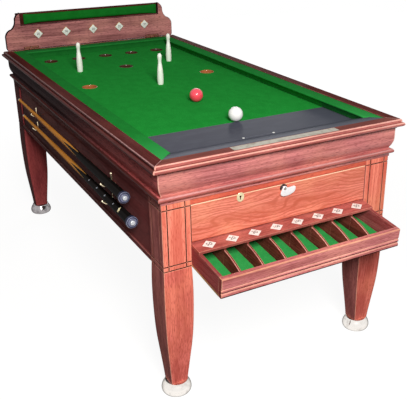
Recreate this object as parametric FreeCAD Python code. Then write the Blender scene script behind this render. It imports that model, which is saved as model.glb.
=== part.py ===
import FreeCAD, Part
import math
import os

V = FreeCAD.Vector

os.makedirs("parts", exist_ok=True)

# A bar-room bagatelle table: a cloth-covered bed with eight holes on four legs, a sloped ball runway
# that ends in a tray at the player's end, a drop-front flap, a folding headboard, two cues on hooks,
# two balls and three skittles.
#
# Table frame while building: X to the right, Y towards the headboard, Z up, with the centre of the
# top rail over the origin and the floor at Z = 0. Every solid is moved along Y by ORIGIN_SHIFT when
# it is written, so that the origin ends up under the middle of the overall length.

# ---------------------------------------------------------------- overall size and top rail
CAP_W = 935.0            # width over the moulded edge of the top rail
CAP_L = 1851.0           # length over the moulded edge of the top rail
RAIL_TOP = 850.0         # height of the rail's flat
CAP_T = 34.0             # thickness of the cap rail
CAP_FLAT = 50.0          # moulded edge to the cushion
CAP_BEAD_R = 7.0         # lower, outer bead of the cap
CAP_BEAD_UP = 8.5        # lower bead above the cap's underside
CAP_NOSE_R = 6.5         # upper bead of the cap
CAP_NOSE_IN = 8.0        # how far the upper bead stands back from the lower one

# ---------------------------------------------------------------- frieze under the cap
FRIEZE_H = 102.0
FRIEZE_IN = 22.5         # set back of the frieze face from the moulded edge
FRIEZE_BACK = 60.0       # set back of its inner face
FRIEZE_FACE_H = 33.0     # upright part of the face, down from the cap
FRIEZE_BULGE = 3.0       # belly of the curve below the upright part
FRIEZE_CURVE_H = 37.0
BEAD_IN = 20.5           # set back of the bead under the frieze
BEAD_R = 8.0
BEAD_UP = 11.0           # flat below the bead

# ---------------------------------------------------------------- legs and feet
LEG_IN = 34.0            # set back of the leg's outer faces from the moulded edge
LEG_W = 96.0
LEG_BLOCK_H = 228.0      # square block between the frieze and the taper
LEG_HALF = [(48.0, 29.0), (130.0, 36.5), (225.0, 45.5)]     # (height, half width), lower taper
LEG_SWELL = [(166.0, 49.5), (76.0, 50.3)]                   # (below the block, half width)
GROOVE_HALF = 2.0        # half the width, and the depth, of the V grooves
GROOVE_EDGE = 18.0       # vertical grooves, in from the block's edges
GROOVE_LOW = 4.0         # lower horizontal groove, above the end of the taper
GROOVE_PITCH = 16.0      # from it to the second one
FOOT_H = 48.0
FOOT_R = 49.5
FOOT_TOP_R = 45.0
FOOT_BASE_R = 31.0
FOOT_BELLY_Z = 30.0

# ---------------------------------------------------------------- carcass panels
PANEL_T = 18.0
PANEL_IN = 6.0           # how far the panels stand back from the legs
FILLET_H = 17.0          # strips along the panels' top and bottom edges

# ---------------------------------------------------------------- bed, cloth and cushions
BED_DEPTH = 36.0         # cloth below the rail's flat
CLOTH_T = 1.5
BED_T = 20.0
BED_GAP = 0.5
BAULK_IN = 364.5         # line between green cloth and dark mat, from the front moulded edge
RAMP_IN = 184.5          # foot of the ramp up to the front rail, from the same edge
RAMP_CREST = 36.0        # level stretch of the ramp beside the rail
RAMP_DROP = 1.0          # ramp below the rail's flat
CUSHION_W = 51.5         # rail to nose
FAR_CUSHION_W = 59.0     # headboard to nose at the far end
CUSHION_UNDERCUT = 20.5  # nose to the foot of the cushion
CUSHION_DROP = 1.0       # cushion below the rail's flat
CUSHION_NOSE_H = 28.0    # underside of the nose above the bed
SOFT_GAP = 0.3
HOLE_R = 27.3
RING_R = 30.6            # hole ring where it passes the bed
RING_LIP_R = 32.4
RING_LIP_H = 1.6
HOLE_OUT_X = 277.0
HOLE_MID_X = 138.5
HOLE_BACK_IN = 188.5     # rows of holes, from the far moulded edge
HOLE_CENTRE_IN = 468.5
HOLE_FRONT_IN = 755.5
SPOT_X = 59.0
SPOT_IN = 194.5          # from the front moulded edge
SPOT_R = 4.0
SPOT_T = 0.5
STRIP_L = 392.0          # metal strip on the front rail
STRIP_W = 30.0
STRIP_IN = 14.5          # front edge of the strip, in from the moulded edge
STRIP_T = 1.2
BEARER_FRONT_IN = [365.5, 805.5]     # cross bearers, from the front moulded edge
BEARER_BACK_IN = [615.5, 325.5]      # and from the far one
BEARER_H = 20.0
BEARER_W = 45.0

# ---------------------------------------------------------------- ball runway and tray
SLOPE = 6.0              # degrees, down towards the player
FLOOR_DROP = 74.5        # floor of the runway below the flap, at the legs' face
FLOOR_T = 7.0
RUNWAY_GAP = 0.5         # beside the legs
WALL_T = 12.0
WALL_H = 62.0            # above the floor
LANES = 8
DIVIDER_T = 8.0
DIVIDER_FRONT_H = 24.0   # height of the dividers at the tray's front
DIVIDER_DIP = 6.0        # dividers below the walls where the label board ends
TRAY_L = 188.0           # reach of the tray in front of the legs
TRAY_FRONT_T = 18.0
LABEL_BOARD_W = 43.5     # in front of the legs
LABEL_BOARD_IN = 22.0    # behind the legs' face, under the flap
LABEL_BOARD_T = 9.0
PLATE_T = 1.2            # number plates and score plates
PLATE_HALF_X = 24.0
PLATE_HALF_Y = 21.5
PLATE_SETBACK = 15.5
LINING_T = 1.5
LINING_L = 60.0          # how far the tray's cloth reaches in behind the legs' face
RUNWAY_END_GAP = 29.5    # in front of the back panel
RUNWAY_BEARER_FRONT = 90.0           # behind the front legs
RUNWAY_BEARER_BACK = 75.5            # in front of the back legs
DIVIDER_SPLAY = 115.0    # length of the slanted end of the outer dividers
LANE_STRAIGHT = 270.0    # straight lanes start this far in front of the front holes
RUNWAY_BEARER_H = 18.0
RUNWAY_BEARER_W = 30.0

# ---------------------------------------------------------------- drop-front flap, lock and catch
FLAP_RAIL_H = 19.5       # frieze to the flap
FLAP_H = 127.5
FLAP_T = 18.0
FLAP_IN = 2.0            # set back from the legs' face
FLAP_GAP = 1.0
FLAP_CHAMFER = 2.5
PIVOT_IN = 6.0           # pivot from the flap's face and from its lower edge
PIVOT_R = 3.0
PIVOT_PLAY = 0.05
PIVOT_L = 12.0
LOCK_X = -163.0
KEYHOLE_BELOW = 10.0     # below the flap's top
LOCK_W = 50.0
LOCK_T = 9.0
LOCK_H = 38.0
BOLT_W = 20.0
BOLT_T = 4.0
BOLT_H = 20.0
BOLT_TRAVEL = 8.0
BOLT_PLAY = 0.4
PLATE_OVAL_X = 13.5
PLATE_OVAL_Z = 16.0
PLATE_OVAL_T = 1.5
KEYHOLE_R = 2.6
KEYHOLE_SLOT = 2.4
KEYHOLE_DROP = 8.0
CATCH_BELOW = 13.5       # below the flap's top
CATCH_R = 12.0
CATCH_TAIL = 43.0
CATCH_T = 6.0
CATCH_STAND = 1.5        # washer between the catch and the flap
CATCH_BORE_R = 2.6
CATCH_PIN_R = 2.5

# ---------------------------------------------------------------- headboard
BOARD_T = 20.0
BOARD_IN = 28.5          # set back of the board's face from the moulded edge
BOARD_LIFT = 2.5
BOARD_HALF = 443.5
BOARD_H = 181.0          # above the rail's flat
SHOULDER_Z = 66.0        # where the side starts to round over, above the rail
NOTCH_HALF = 364.0
NOTCH_H = 60.0
BACK_T = 12.0
BACK_HALF = 380.0
BACK_LAP = 36.0          # overlap of the back board below the cut-out
PAD_LEFT = 15.0          # bare strip left of the pad
PAD_FACE = 6.0           # pad's face behind the board's face
PAD_TOP = 5.0            # pad below the board's top
SCORE_PITCH = 142.0
SCORE_HALF = 24.8
SCORE_Z = 73.0           # centre of the score plates above the rail
SCORE_COUNT = 5
HINGE_X = 325.0
HINGE_L = 75.0
KNUCKLE_R = 3.2
KNUCKLE_GAP = 0.4
LEAF_T = 1.6
LEAF_W = 9.0
HINGE_PIN_R = 1.5

# ---------------------------------------------------------------- cues and hooks
CUE_OUT = 30.0           # cue axis outside the side panel
CUE_HIGH_BELOW = 57.0    # axes of the two cues below the frieze
CUE_LOW_BELOW = 121.5
CUE_L = 1368.0
CUE_HIGH_END_Y = -656.0  # butt end of the upper cue
CUE_LOW_END_Y = -713.0
CUE_TIP_R = 5.5
CUE_JOINT_R = 11.2
CUE_BUTT_R = 17.0
CUE_BUTT_L = 490.0
CUE_CAP_R = 20.0
CUE_CAP_L = 14.0
CUE_BUMPER_R = 8.0
CUE_BUMPER_L = 7.0
HOOK_FRONT_Y = -490.0
HOOK_BACK_Y = 430.0
HOOK_FRONT_R = 2.6       # wire radius
HOOK_BACK_R = 1.6
HOOK_RISE = 24.0         # upright above the cue's axis
HOOK_LIP = 12.0
HOOK_ROSE_R = 8.0
HOOK_ROSE_T = 2.0
CUE_CLEAR = 0.3

# ---------------------------------------------------------------- balls and skittles
BALL_R = 26.2
RED_BALL = (7.0, 667.5)  # place across, and from the front moulded edge
WHITE_BALL = (11.5, 369.5)
SKITTLE_H = 132.0
SKITTLE_X = 222.0
SKITTLE_PAIR_IN = 463.5  # from the far moulded edge
SKITTLE_CENTRE_IN = 861.5
SKITTLE_PROFILE = [(0.0, 12.0), (0.26, 13.4), (0.55, 10.4), (0.76, 7.6), (0.9, 9.2), (0.965, 7.0)]
SEAT_GAP = 0.3

# ---------------------------------------------------------------- lines that follow from these
HALF_W = CAP_W / 2
HALF_L = CAP_L / 2
CAP_BOTTOM = RAIL_TOP - CAP_T
FRIEZE_BOTTOM = CAP_BOTTOM - FRIEZE_H
LEG_TAPER_TOP = FRIEZE_BOTTOM - LEG_BLOCK_H
BED_TOP = RAIL_TOP - BED_DEPTH
LEG_X = HALF_W - LEG_IN              # legs' outer faces
LEG_Y = HALF_L - LEG_IN
LEG_INNER_X = LEG_X - LEG_W
LEG_INNER_Y = LEG_Y - LEG_W
LEG_CX = LEG_X - LEG_W / 2
LEG_CY = LEG_Y - LEG_W / 2
PANEL_X = LEG_X - PANEL_IN           # panels' outer faces
PANEL_Y = LEG_Y - PANEL_IN
BED_X = HALF_W - FRIEZE_BACK - BED_GAP
BED_Y = HALF_L - FRIEZE_BACK - BED_GAP
BED_BOARD_TOP = BED_TOP - CLOTH_T    # top of the bed board under its cloth
BED_BOTTOM = BED_BOARD_TOP - BED_T
CUSHION_X = HALF_W - CAP_FLAT        # line between rail and cushion
CUSHION_Y = HALF_L - CAP_FLAT
BOARD_FACE = HALF_L - BOARD_IN       # headboard's face, and the far rail's inner edge
RUNWAY_X = LEG_INNER_X - RUNWAY_GAP
INNER_X = RUNWAY_X - WALL_T
LANE_PITCH = (2 * INNER_X + DIVIDER_T) / LANES
LABEL_TOP = WALL_H + LABEL_BOARD_T
FLAP_FACE = -LEG_Y + FLAP_IN
FLAP_TOP = FRIEZE_BOTTOM - FLAP_RAIL_H
FLAP_BOTTOM = FLAP_TOP - FLAP_H
FLOOR_Z = FLAP_BOTTOM - FLOOR_DROP
KEYHOLE_Z = FLAP_TOP - KEYHOLE_BELOW
CATCH_Z = FLAP_TOP - CATCH_BELOW
PIVOT_Y = FLAP_FACE + PIVOT_IN
PIVOT_Z = FLAP_BOTTOM + PIVOT_IN
CUE_HIGH_Z = FRIEZE_BOTTOM - CUE_HIGH_BELOW
CUE_LOW_Z = FRIEZE_BOTTOM - CUE_LOW_BELOW
ORIGIN_SHIFT = (TRAY_L - LEG_IN) / 2
BAULK_Y = -HALF_L + BAULK_IN
RAMP_Y = -HALF_L + RAMP_IN
HOLE_BACK_Y = HALF_L - HOLE_BACK_IN
HOLE_CENTRE_Y = HALF_L - HOLE_CENTRE_IN
HOLE_FRONT_Y = HALF_L - HOLE_FRONT_IN
BEARER_Y = [-HALF_L + step for step in BEARER_FRONT_IN] + [HALF_L - step for step in BEARER_BACK_IN]
RUNWAY_END_Y = PANEL_Y - PANEL_T - RUNWAY_END_GAP
RUNWAY_BEARER_Y = [-LEG_INNER_Y + RUNWAY_BEARER_FRONT, 0.0, LEG_INNER_Y - RUNWAY_BEARER_BACK]
HOLES = [(-HOLE_OUT_X, HOLE_BACK_Y), (-HOLE_MID_X, HOLE_BACK_Y), (0.0, HOLE_BACK_Y),
         (HOLE_MID_X, HOLE_BACK_Y), (HOLE_OUT_X, HOLE_BACK_Y), (0.0, HOLE_CENTRE_Y),
         (-HOLE_OUT_X, HOLE_FRONT_Y), (HOLE_OUT_X, HOLE_FRONT_Y)]
SIDES = (-1, 1)


# ================================================================ helpers

def save(name, *solids):
    """Write the solids of one sub-part to its own file, in the part's final frame."""
    shape = Part.makeCompound(list(solids)) if len(solids) > 1 else solids[0]
    moved = shape.copy()
    moved.translate(V(0, ORIGIN_SHIFT, 0))
    moved.exportStep("parts/%s.step" % name)


def box(x0, x1, y0, y1, z0, z1):
    """Block between two corners."""
    return Part.makeBox(x1 - x0, y1 - y0, z1 - z0, V(x0, y0, z0))


def outline(points, place):
    """Closed wire; a pair is a corner, a pair of pairs is an arc given by its middle and its end."""
    edges = []
    first = last = place(*points[0])
    for step in points[1:]:
        if isinstance(step[0], tuple):
            middle, end = place(*step[0]), place(*step[1])
            edges.append(Part.Arc(last, middle, end).toShape())
        else:
            end = place(*step)
            edges.append(Part.makeLine(last, end))
        last = end
    if (last - first).Length > 1e-6:
        edges.append(Part.makeLine(last, first))
    return Part.Wire(edges)


def prism(points, place, along):
    """Solid made by pulling a closed outline along a vector."""
    return Part.Face(outline(points, place)).extrude(along)


def plan(points, z0, z1):
    """Upright prism with the given outline in plan."""
    return prism(points, lambda x, y: V(x, y, z0), V(0, 0, z1 - z0))


def turned(points, centre):
    """Solid of revolution about a vertical axis; points are (radius, height)."""
    face = Part.Face(outline(points, lambda r, z: V(centre[0] + r, centre[1], z)))
    return face.revolve(V(centre[0], centre[1], 0), V(0, 0, 1), 360)


def turned_y(points, x, z):
    """Solid of revolution about an axis along Y; points are (radius, y)."""
    face = Part.Face(outline(points, lambda r, y: V(x, y, z + r)))
    return face.revolve(V(x, 0, z), V(0, 1, 0), 360)


def end_moulding(points, front):
    """Moulding across an end of the table, mitred to the corners; points are (inset, height)."""
    depth = max(p[0] if not isinstance(p[0], tuple) else p[1][0] for p in points)
    raw = prism(points, lambda s, z: V(-HALF_W, -HALF_L + s, z), V(CAP_W, 0, 0))
    low = min(p[1] if not isinstance(p[0], tuple) else p[1][1] for p in points) - 10
    mitre = plan([(-HALF_W, -HALF_L), (HALF_W, -HALF_L), (HALF_W - depth, -HALF_L + depth),
                  (-HALF_W + depth, -HALF_L + depth)], low, RAIL_TOP + 10)
    piece = raw.common(mitre).Solids[0]
    return piece if front else piece.mirror(V(0, 0, 0), V(0, 1, 0))


def side_moulding(points, side):
    """Moulding along a side of the table, mitred to the corners; points are (inset, height)."""
    depth = max(p[0] if not isinstance(p[0], tuple) else p[1][0] for p in points)
    raw = prism(points, lambda s, z: V(-HALF_W + s, -HALF_L, z), V(0, CAP_L, 0))
    low = min(p[1] if not isinstance(p[0], tuple) else p[1][1] for p in points) - 10
    mitre = plan([(-HALF_W, -HALF_L), (-HALF_W + depth, -HALF_L + depth),
                  (-HALF_W + depth, HALF_L - depth), (-HALF_W, HALF_L)], low, RAIL_TOP + 10)
    piece = raw.common(mitre).Solids[0]
    return piece if side < 0 else piece.mirror(V(0, 0, 0), V(1, 0, 0))


def on_runway(shape):
    """Tilt a shape from level runway coordinates (y from the legs' face, z from the floor)."""
    tilted = shape.copy()
    tilted.rotate(V(0, 0, 0), V(1, 0, 0), SLOPE)
    tilted.translate(V(0, -LEG_Y, FLOOR_Z))
    return tilted


def run_y(y):
    """Distance along the runway's floor of a place given in the table's own Y."""
    return (y + LEG_Y) / math.cos(math.radians(SLOPE))


def pipe(edges, radius, start, direction):
    """Round bar of one radius along a smooth path."""
    ring = Part.Wire([Part.Circle(start, direction, radius).toShape()])
    return Part.Wire(edges).makePipeShell([ring], True, False)


# ================================================================ top rail, frieze and beads

def cap_profile(flat):
    """Section of a cap rail with a double bead as (inset, height); flat is the rail's width."""
    bead_mid = CAP_BOTTOM + CAP_BEAD_UP + CAP_BEAD_R
    nose_z = RAIL_TOP - CAP_NOSE_R
    cos45 = math.cos(math.pi / 4)
    return [(flat, CAP_BOTTOM), (FRIEZE_IN - 2, CAP_BOTTOM),
            (CAP_BEAD_R * 2, bead_mid - CAP_BEAD_R), (CAP_BEAD_R, bead_mid - CAP_BEAD_R),
            ((0.0, bead_mid), (CAP_BEAD_R, bead_mid + CAP_BEAD_R)),
            (CAP_NOSE_IN + 1, bead_mid + CAP_BEAD_R), (CAP_NOSE_IN, nose_z),
            ((CAP_NOSE_IN + CAP_NOSE_R * (1 - cos45), nose_z + CAP_NOSE_R * cos45),
             (CAP_NOSE_IN + CAP_NOSE_R, RAIL_TOP)), (flat, RAIL_TOP)]


def make_cap():
    """Four mitred cap rails; the far one stops at the headboard's face."""
    profile = cap_profile(CAP_FLAT)
    save("cap_rail_front", end_moulding(profile, True))
    save("cap_rail_back", end_moulding(cap_profile(BOARD_IN), False))
    save("cap_rail_sides", *[side_moulding(profile, side) for side in SIDES])


def make_frieze():
    """Curved frieze boards that stand on the legs, and the bead planted along their lower edge."""
    curve_top = CAP_BOTTOM - FRIEZE_FACE_H
    curve_bottom = curve_top - FRIEZE_CURVE_H
    middle = ((FRIEZE_IN + LEG_IN) / 2 - FRIEZE_BULGE, (curve_top + curve_bottom) / 2)
    profile = [(FRIEZE_BACK, FRIEZE_BOTTOM), (FRIEZE_BACK, CAP_BOTTOM), (FRIEZE_IN, CAP_BOTTOM),
               (FRIEZE_IN, curve_top), (middle, (LEG_IN, curve_bottom)), (LEG_IN, FRIEZE_BOTTOM)]
    save("frieze_ends", end_moulding(profile, True), end_moulding(profile, False))
    save("frieze_sides", *[side_moulding(profile, side) for side in SIDES])
    bead_z = FRIEZE_BOTTOM + BEAD_UP + BEAD_R
    bead = [(LEG_IN, bead_z + BEAD_R), (BEAD_IN + BEAD_R, bead_z + BEAD_R),
            ((BEAD_IN, bead_z), (BEAD_IN + BEAD_R, bead_z - BEAD_R)),
            (LEG_IN - 2, bead_z - BEAD_R), (LEG_IN - 2, FRIEZE_BOTTOM), (LEG_IN, FRIEZE_BOTTOM)]
    save("frieze_beads", end_moulding(bead, True), end_moulding(bead, False),
         *[side_moulding(bead, side) for side in SIDES])


# ================================================================ legs, feet and carcass

def leg_taper():
    """Four-sided swelling taper below the block, centred on the leg's axis."""
    half = LEG_W / 2
    heights = [(h, z) for z, h in LEG_HALF]
    heights += [(h, LEG_TAPER_TOP - down) for down, h in LEG_SWELL] + [(half, LEG_TAPER_TOP)]
    right = Part.BSplineCurve()
    right.interpolate([V(h, 0, z) for h, z in heights])
    left = Part.BSplineCurve()
    left.interpolate([V(-h, 0, z) for h, z in heights])
    bottom = heights[0]
    top = heights[-1]
    wire = Part.Wire([Part.makeLine(V(-bottom[0], 0, bottom[1]), V(bottom[0], 0, bottom[1])),
                      right.toShape(), Part.makeLine(V(top[0], 0, top[1]), V(-top[0], 0, top[1])),
                      left.toShape()])
    slab = Part.Face(wire).extrude(V(0, 2 * LEG_W, 0))
    slab.translate(V(0, -LEG_W, 0))
    across = slab.copy()
    across.rotate(V(0, 0, 0), V(0, 0, 1), 90)
    return slab.common(across)


def groove_cutters(half, top, rail_line):
    """V grooves on the +X face of a leg block that is centred on the Z axis."""
    g = GROOVE_HALF
    cutters = []
    for y in (-half + GROOVE_EDGE, half - GROOVE_EDGE):
        cutters.append(plan([(half - g, y), (half + g, y - 2 * g), (half + g, y + 2 * g)],
                            LEG_TAPER_TOP + GROOVE_LOW, top + 1))
    for z in (LEG_TAPER_TOP + GROOVE_LOW, LEG_TAPER_TOP + GROOVE_LOW + GROOVE_PITCH, rail_line):
        cutters.append(prism([(half - g, z), (half + g, z - 2 * g), (half + g, z + 2 * g)],
                             lambda x, zz: V(x, -half - 1, zz), V(0, 2 * half + 2, 0)))
    return cutters


def make_legs():
    """Legs with grooved blocks; the front pair has the bores for the flap's pivots."""
    half = LEG_W / 2
    block = box(-half, half, -half, half, LEG_TAPER_TOP, FRIEZE_BOTTOM)
    plain = block.fuse(leg_taper()).removeSplitter()
    for y_sign, y_name in ((-1, "front"), (1, "back")):
        for x_sign, x_name in ((-1, "left"), (1, "right")):
            leg = plain.copy()
            for turn in ({1: 0, -1: 180}[x_sign], {1: 90, -1: 270}[y_sign]):
                for cutter in groove_cutters(half, FRIEZE_BOTTOM, FLAP_TOP):
                    cutter.rotate(V(0, 0, 0), V(0, 0, 1), turn)
                    leg = leg.cut(cutter)
            leg.translate(V(x_sign * LEG_CX, y_sign * LEG_CY, 0))
            if y_sign < 0:
                bore = Part.makeCylinder(PIVOT_R + PIVOT_PLAY, PIVOT_L + 2,
                                         V(x_sign * (LEG_INNER_X - 1), PIVOT_Y, PIVOT_Z),
                                         V(x_sign, 0, 0))
                leg = leg.cut(bore)
            save("leg_%s_%s" % (y_name, x_name), leg)


def make_feet():
    """Domed metal cups that the legs stand on."""
    profile = [(0.0, 0.0), (FOOT_BASE_R, 0.0),
               ((FOOT_R, FOOT_BELLY_Z), (FOOT_TOP_R, FOOT_H - 2)), (FOOT_TOP_R - 2, FOOT_H),
               (0.0, FOOT_H)]
    save("foot_cups", *[turned(profile, (x * LEG_CX, y * LEG_CY)) for y in SIDES for x in SIDES])


def make_carcass():
    """Side and back panels, the strips that frame them, and the rail above the flap."""
    inner_x = PANEL_X - PANEL_T
    side = box(-PANEL_X, -inner_x, -LEG_INNER_Y, LEG_INNER_Y, LEG_TAPER_TOP, FRIEZE_BOTTOM)
    save("side_panels", side, side.mirror(V(0, 0, 0), V(1, 0, 0)))
    save("back_panel", box(-LEG_INNER_X, LEG_INNER_X, PANEL_Y - PANEL_T, PANEL_Y,
                           LEG_TAPER_TOP, FRIEZE_BOTTOM))
    strips = []
    for low in (LEG_TAPER_TOP, FRIEZE_BOTTOM - FILLET_H):
        high = low + FILLET_H
        strips.append(box(-LEG_X, -PANEL_X, -LEG_INNER_Y, LEG_INNER_Y, low, high))
        strips.append(box(PANEL_X, LEG_X, -LEG_INNER_Y, LEG_INNER_Y, low, high))
        strips.append(box(-LEG_INNER_X, LEG_INNER_X, PANEL_Y, LEG_Y, low, high))
    save("panel_strips", *strips)
    back = FLAP_FACE + FLAP_T
    rail = box(-LEG_INNER_X, LEG_INNER_X, FLAP_FACE, back, FLAP_TOP + FLAP_GAP, FRIEZE_BOTTOM)
    bolt_y = lock_bolt_y()
    mortise = box(LOCK_X - BOLT_W / 2 - BOLT_PLAY, LOCK_X + BOLT_W / 2 + BOLT_PLAY,
                  bolt_y - BOLT_PLAY, bolt_y + BOLT_T + BOLT_PLAY,
                  FLAP_TOP, FLAP_TOP + FLAP_GAP + BOLT_TRAVEL + BOLT_PLAY)
    save("front_rail", rail.cut(mortise))


# ================================================================ bed, cloth, cushions, hole rings

def hole_cutters(radius, z0, z1):
    """Upright cylinders through the bed, one for each hole."""
    return [Part.makeCylinder(radius, z1 - z0, V(x, y, z0)) for x, y in HOLES]


def make_bed():
    """Bed board, its cloth, the dark baulk mat, hole rings, spots and the bearers underneath."""
    board = box(-BED_X, BED_X, -BED_Y, BED_Y, BED_BOTTOM, BED_BOARD_TOP)
    cloth = box(-BED_X, BED_X, BAULK_Y, BED_Y, BED_BOARD_TOP, BED_TOP)
    for cutter in hole_cutters(RING_R, BED_BOTTOM - 1, BED_TOP + 1):
        board = board.cut(cutter)
        cloth = cloth.cut(cutter)
    save("bed_board", board)
    save("bed_cloth", cloth)
    save("baulk_mat", box(-BED_X, BED_X, -BED_Y, BAULK_Y, BED_BOARD_TOP, BED_TOP))
    lip_top = BED_TOP + RING_LIP_H
    ring = [(HOLE_R, BED_BOTTOM), (RING_R, BED_BOTTOM), (RING_R, BED_TOP), (RING_LIP_R, BED_TOP),
            (((HOLE_R + RING_LIP_R) / 2, lip_top), (HOLE_R, BED_TOP))]
    save("hole_rings", *[turned(ring, hole) for hole in HOLES])
    save("baulk_spots", *[Part.makeCylinder(SPOT_R, SPOT_T, V(x * SPOT_X, -HALF_L + SPOT_IN, BED_TOP))
                          for x in SIDES])
    ledge_x = HALF_W - FRIEZE_BACK
    ledge_top = BED_BOTTOM - BEARER_H
    timbers = [box(-ledge_x, ledge_x, y - BEARER_W / 2, y + BEARER_W / 2, ledge_top, BED_BOTTOM)
               for y in BEARER_Y]
    for x in SIDES:
        inner, outer = sorted((x * (ledge_x - BEARER_H), x * ledge_x))
        timbers.append(box(inner, outer, -BED_Y, BED_Y, ledge_top - BEARER_H, ledge_top))
    save("bed_bearers", *timbers)


def cushion_profile(flat, width):
    """Section of a cushion as (inset, height): flat top, pointed nose, undercut, stepped back."""
    top = RAIL_TOP - CUSHION_DROP
    nose = flat + width
    foot = BED_TOP + SOFT_GAP
    return [(flat, top), (nose - 4, top), ((nose - 0.7, top - 1.2), (nose, top - 4)),
            (nose, BED_TOP + CUSHION_NOSE_H), (nose - CUSHION_UNDERCUT, foot),
            (FRIEZE_BACK + SOFT_GAP, foot), (FRIEZE_BACK + SOFT_GAP, CAP_BOTTOM + SOFT_GAP),
            (flat, CAP_BOTTOM + SOFT_GAP)]


def make_cushions():
    """Three cushions and the dark ramp that takes the place of the fourth."""
    low, high = BED_TOP, RAIL_TOP + 1
    nose_x = CUSHION_X - CUSHION_W
    nose_y = BOARD_FACE - FAR_CUSHION_W
    raw = prism(cushion_profile(CAP_FLAT, CUSHION_W), lambda s, z: V(-HALF_W + s, -HALF_L, z),
                V(0, CAP_L, 0))
    share = plan([(-CUSHION_X, -CUSHION_Y), (-nose_x, -CUSHION_Y + CUSHION_W),
                  (-nose_x, nose_y), (-CUSHION_X, BOARD_FACE)], low, high)
    left = raw.common(share)
    for y in SIDES:
        end = sorted((y * (HALF_L - FRIEZE_BACK - SOFT_GAP), y * HALF_L))
        left = left.cut(box(-HALF_W, 0, *end, low, CAP_BOTTOM + SOFT_GAP))
    left = left.Solids[0]
    right = left.mirror(V(0, 0, 0), V(1, 0, 0))
    save("cushion_left", left)
    save("cushion_right", right)
    raw = prism(cushion_profile(BOARD_IN, FAR_CUSHION_W), lambda s, z: V(-HALF_W, HALF_L - s, z),
                V(CAP_W, 0, 0))
    share = plan([(-CUSHION_X, BOARD_FACE), (-nose_x, nose_y), (nose_x, nose_y),
                  (CUSHION_X, BOARD_FACE)], low, high)
    save("cushion_far", raw.common(share).Solids[0])

    top = RAIL_TOP - RAMP_DROP
    crest = -CUSHION_Y + RAMP_CREST
    step_y = -HALF_L + FRIEZE_BACK + SOFT_GAP
    foot = BED_TOP
    section = [(RAMP_Y, foot), (crest, top - 1), (-CUSHION_Y, top),
               (-CUSHION_Y, CAP_BOTTOM + SOFT_GAP), (step_y, CAP_BOTTOM + SOFT_GAP), (step_y, foot)]
    ramp = prism(section, lambda y, z: V(-CUSHION_X, y, z), V(2 * CUSHION_X, 0, 0))
    cut_back = CUSHION_W - CUSHION_UNDERCUT
    run = CUSHION_X - cut_back
    share = plan([(-CUSHION_X, -CUSHION_Y), (CUSHION_X, -CUSHION_Y),
                  (run, -CUSHION_Y + cut_back), (run, RAMP_Y), (-run, RAMP_Y),
                  (-run, -CUSHION_Y + cut_back)], low, high)
    ramp = ramp.common(share).cut(left).cut(right)
    save("baulk_ramp", max(ramp.Solids, key=lambda s: s.Volume))
    strip_y = -HALF_L + STRIP_IN
    save("rest_strip", box(-STRIP_L / 2, STRIP_L / 2, strip_y, strip_y + STRIP_W, RAIL_TOP,
                           RAIL_TOP + STRIP_T))


# ================================================================ runway and tray

def boards(points, height):
    """Straight upright boards along a bent line, mitred where they meet, in runway coordinates."""
    normals = []
    for (x0, y0), (x1, y1) in zip(points, points[1:]):
        length = math.hypot(x1 - x0, y1 - y0)
        normals.append(((y0 - y1) / length, (x1 - x0) / length))
    left, right = [], []
    for (x, y), before, after in zip(points, normals[:1] + normals, normals + normals[-1:]):
        share = DIVIDER_T / 2 / (1 + before[0] * after[0] + before[1] * after[1])
        step_x = share * (before[0] + after[0])
        step_y = share * (before[1] + after[1])
        left.append((x + step_x, y + step_y))
        right.append((x - step_x, y - step_y))
    return [plan([left[i], left[i + 1], right[i + 1], right[i]], 0, height)
            for i in range(len(points) - 1)]


def divider_lines():
    """Bent lines of the seven dividers, and how far right each may reach: one lane for each hole."""
    back = RUNWAY_END_Y
    straight = HOLE_FRONT_Y - LANE_STRAIGHT
    bend = HOLE_FRONT_Y + HOLE_R + 25      # behind the two front holes
    pitch = LANE_PITCH
    half_back = HOLE_MID_X / 2
    clear = HOLE_R + DIVIDER_T + 1         # divider beside the centre hole
    lane = 2 * BALL_R + 16
    between = (HOLE_OUT_X + HOLE_MID_X) / 2
    centre = HOLE_CENTRE_Y
    stop = half_back - DIVIDER_T / 2       # the middle divider ends against the fifth
    outer = [(-3 * pitch, bend), (-INNER_X, bend + DIVIDER_SPLAY)]
    second = [(-2 * pitch, straight), (-between, centre - 7), (-between, back)]
    third = [(-pitch, straight), (-clear - lane, centre - 70), (-clear - lane, centre + 103),
             (-half_back, HOLE_BACK_Y - 77), (-half_back, back)]
    middle = [(0.0, HOLE_FRONT_Y + 80), (-clear, centre - 70), (-clear, centre + 60),
              (half_back, HOLE_BACK_Y - 118)]
    fifth = [(pitch, straight), (half_back, centre - 57), (half_back, back)]
    sixth = [(-x, y) for x, y in second]
    seventh = [(-x, y) for x, y in outer]
    return [(outer, INNER_X), (second, INNER_X), (third, INNER_X), (middle, stop),
            (fifth, INNER_X), (sixth, INNER_X), (seventh, INNER_X)]


def tray_divider(x, front):
    """Divider in the tray, level with the runway's: its top arches down towards the tray's front."""
    high = WALL_H - DIVIDER_DIP
    edge = -LABEL_BOARD_W
    middle = ((edge + front) / 2, high - (high - DIVIDER_FRONT_H) * 0.28)
    return prism([(front, 0), (edge, 0), (edge, high), (middle, (front, DIVIDER_FRONT_H))],
                 lambda y, z: V(x - DIVIDER_T / 2, y, z), V(DIVIDER_T, 0, 0))


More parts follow.
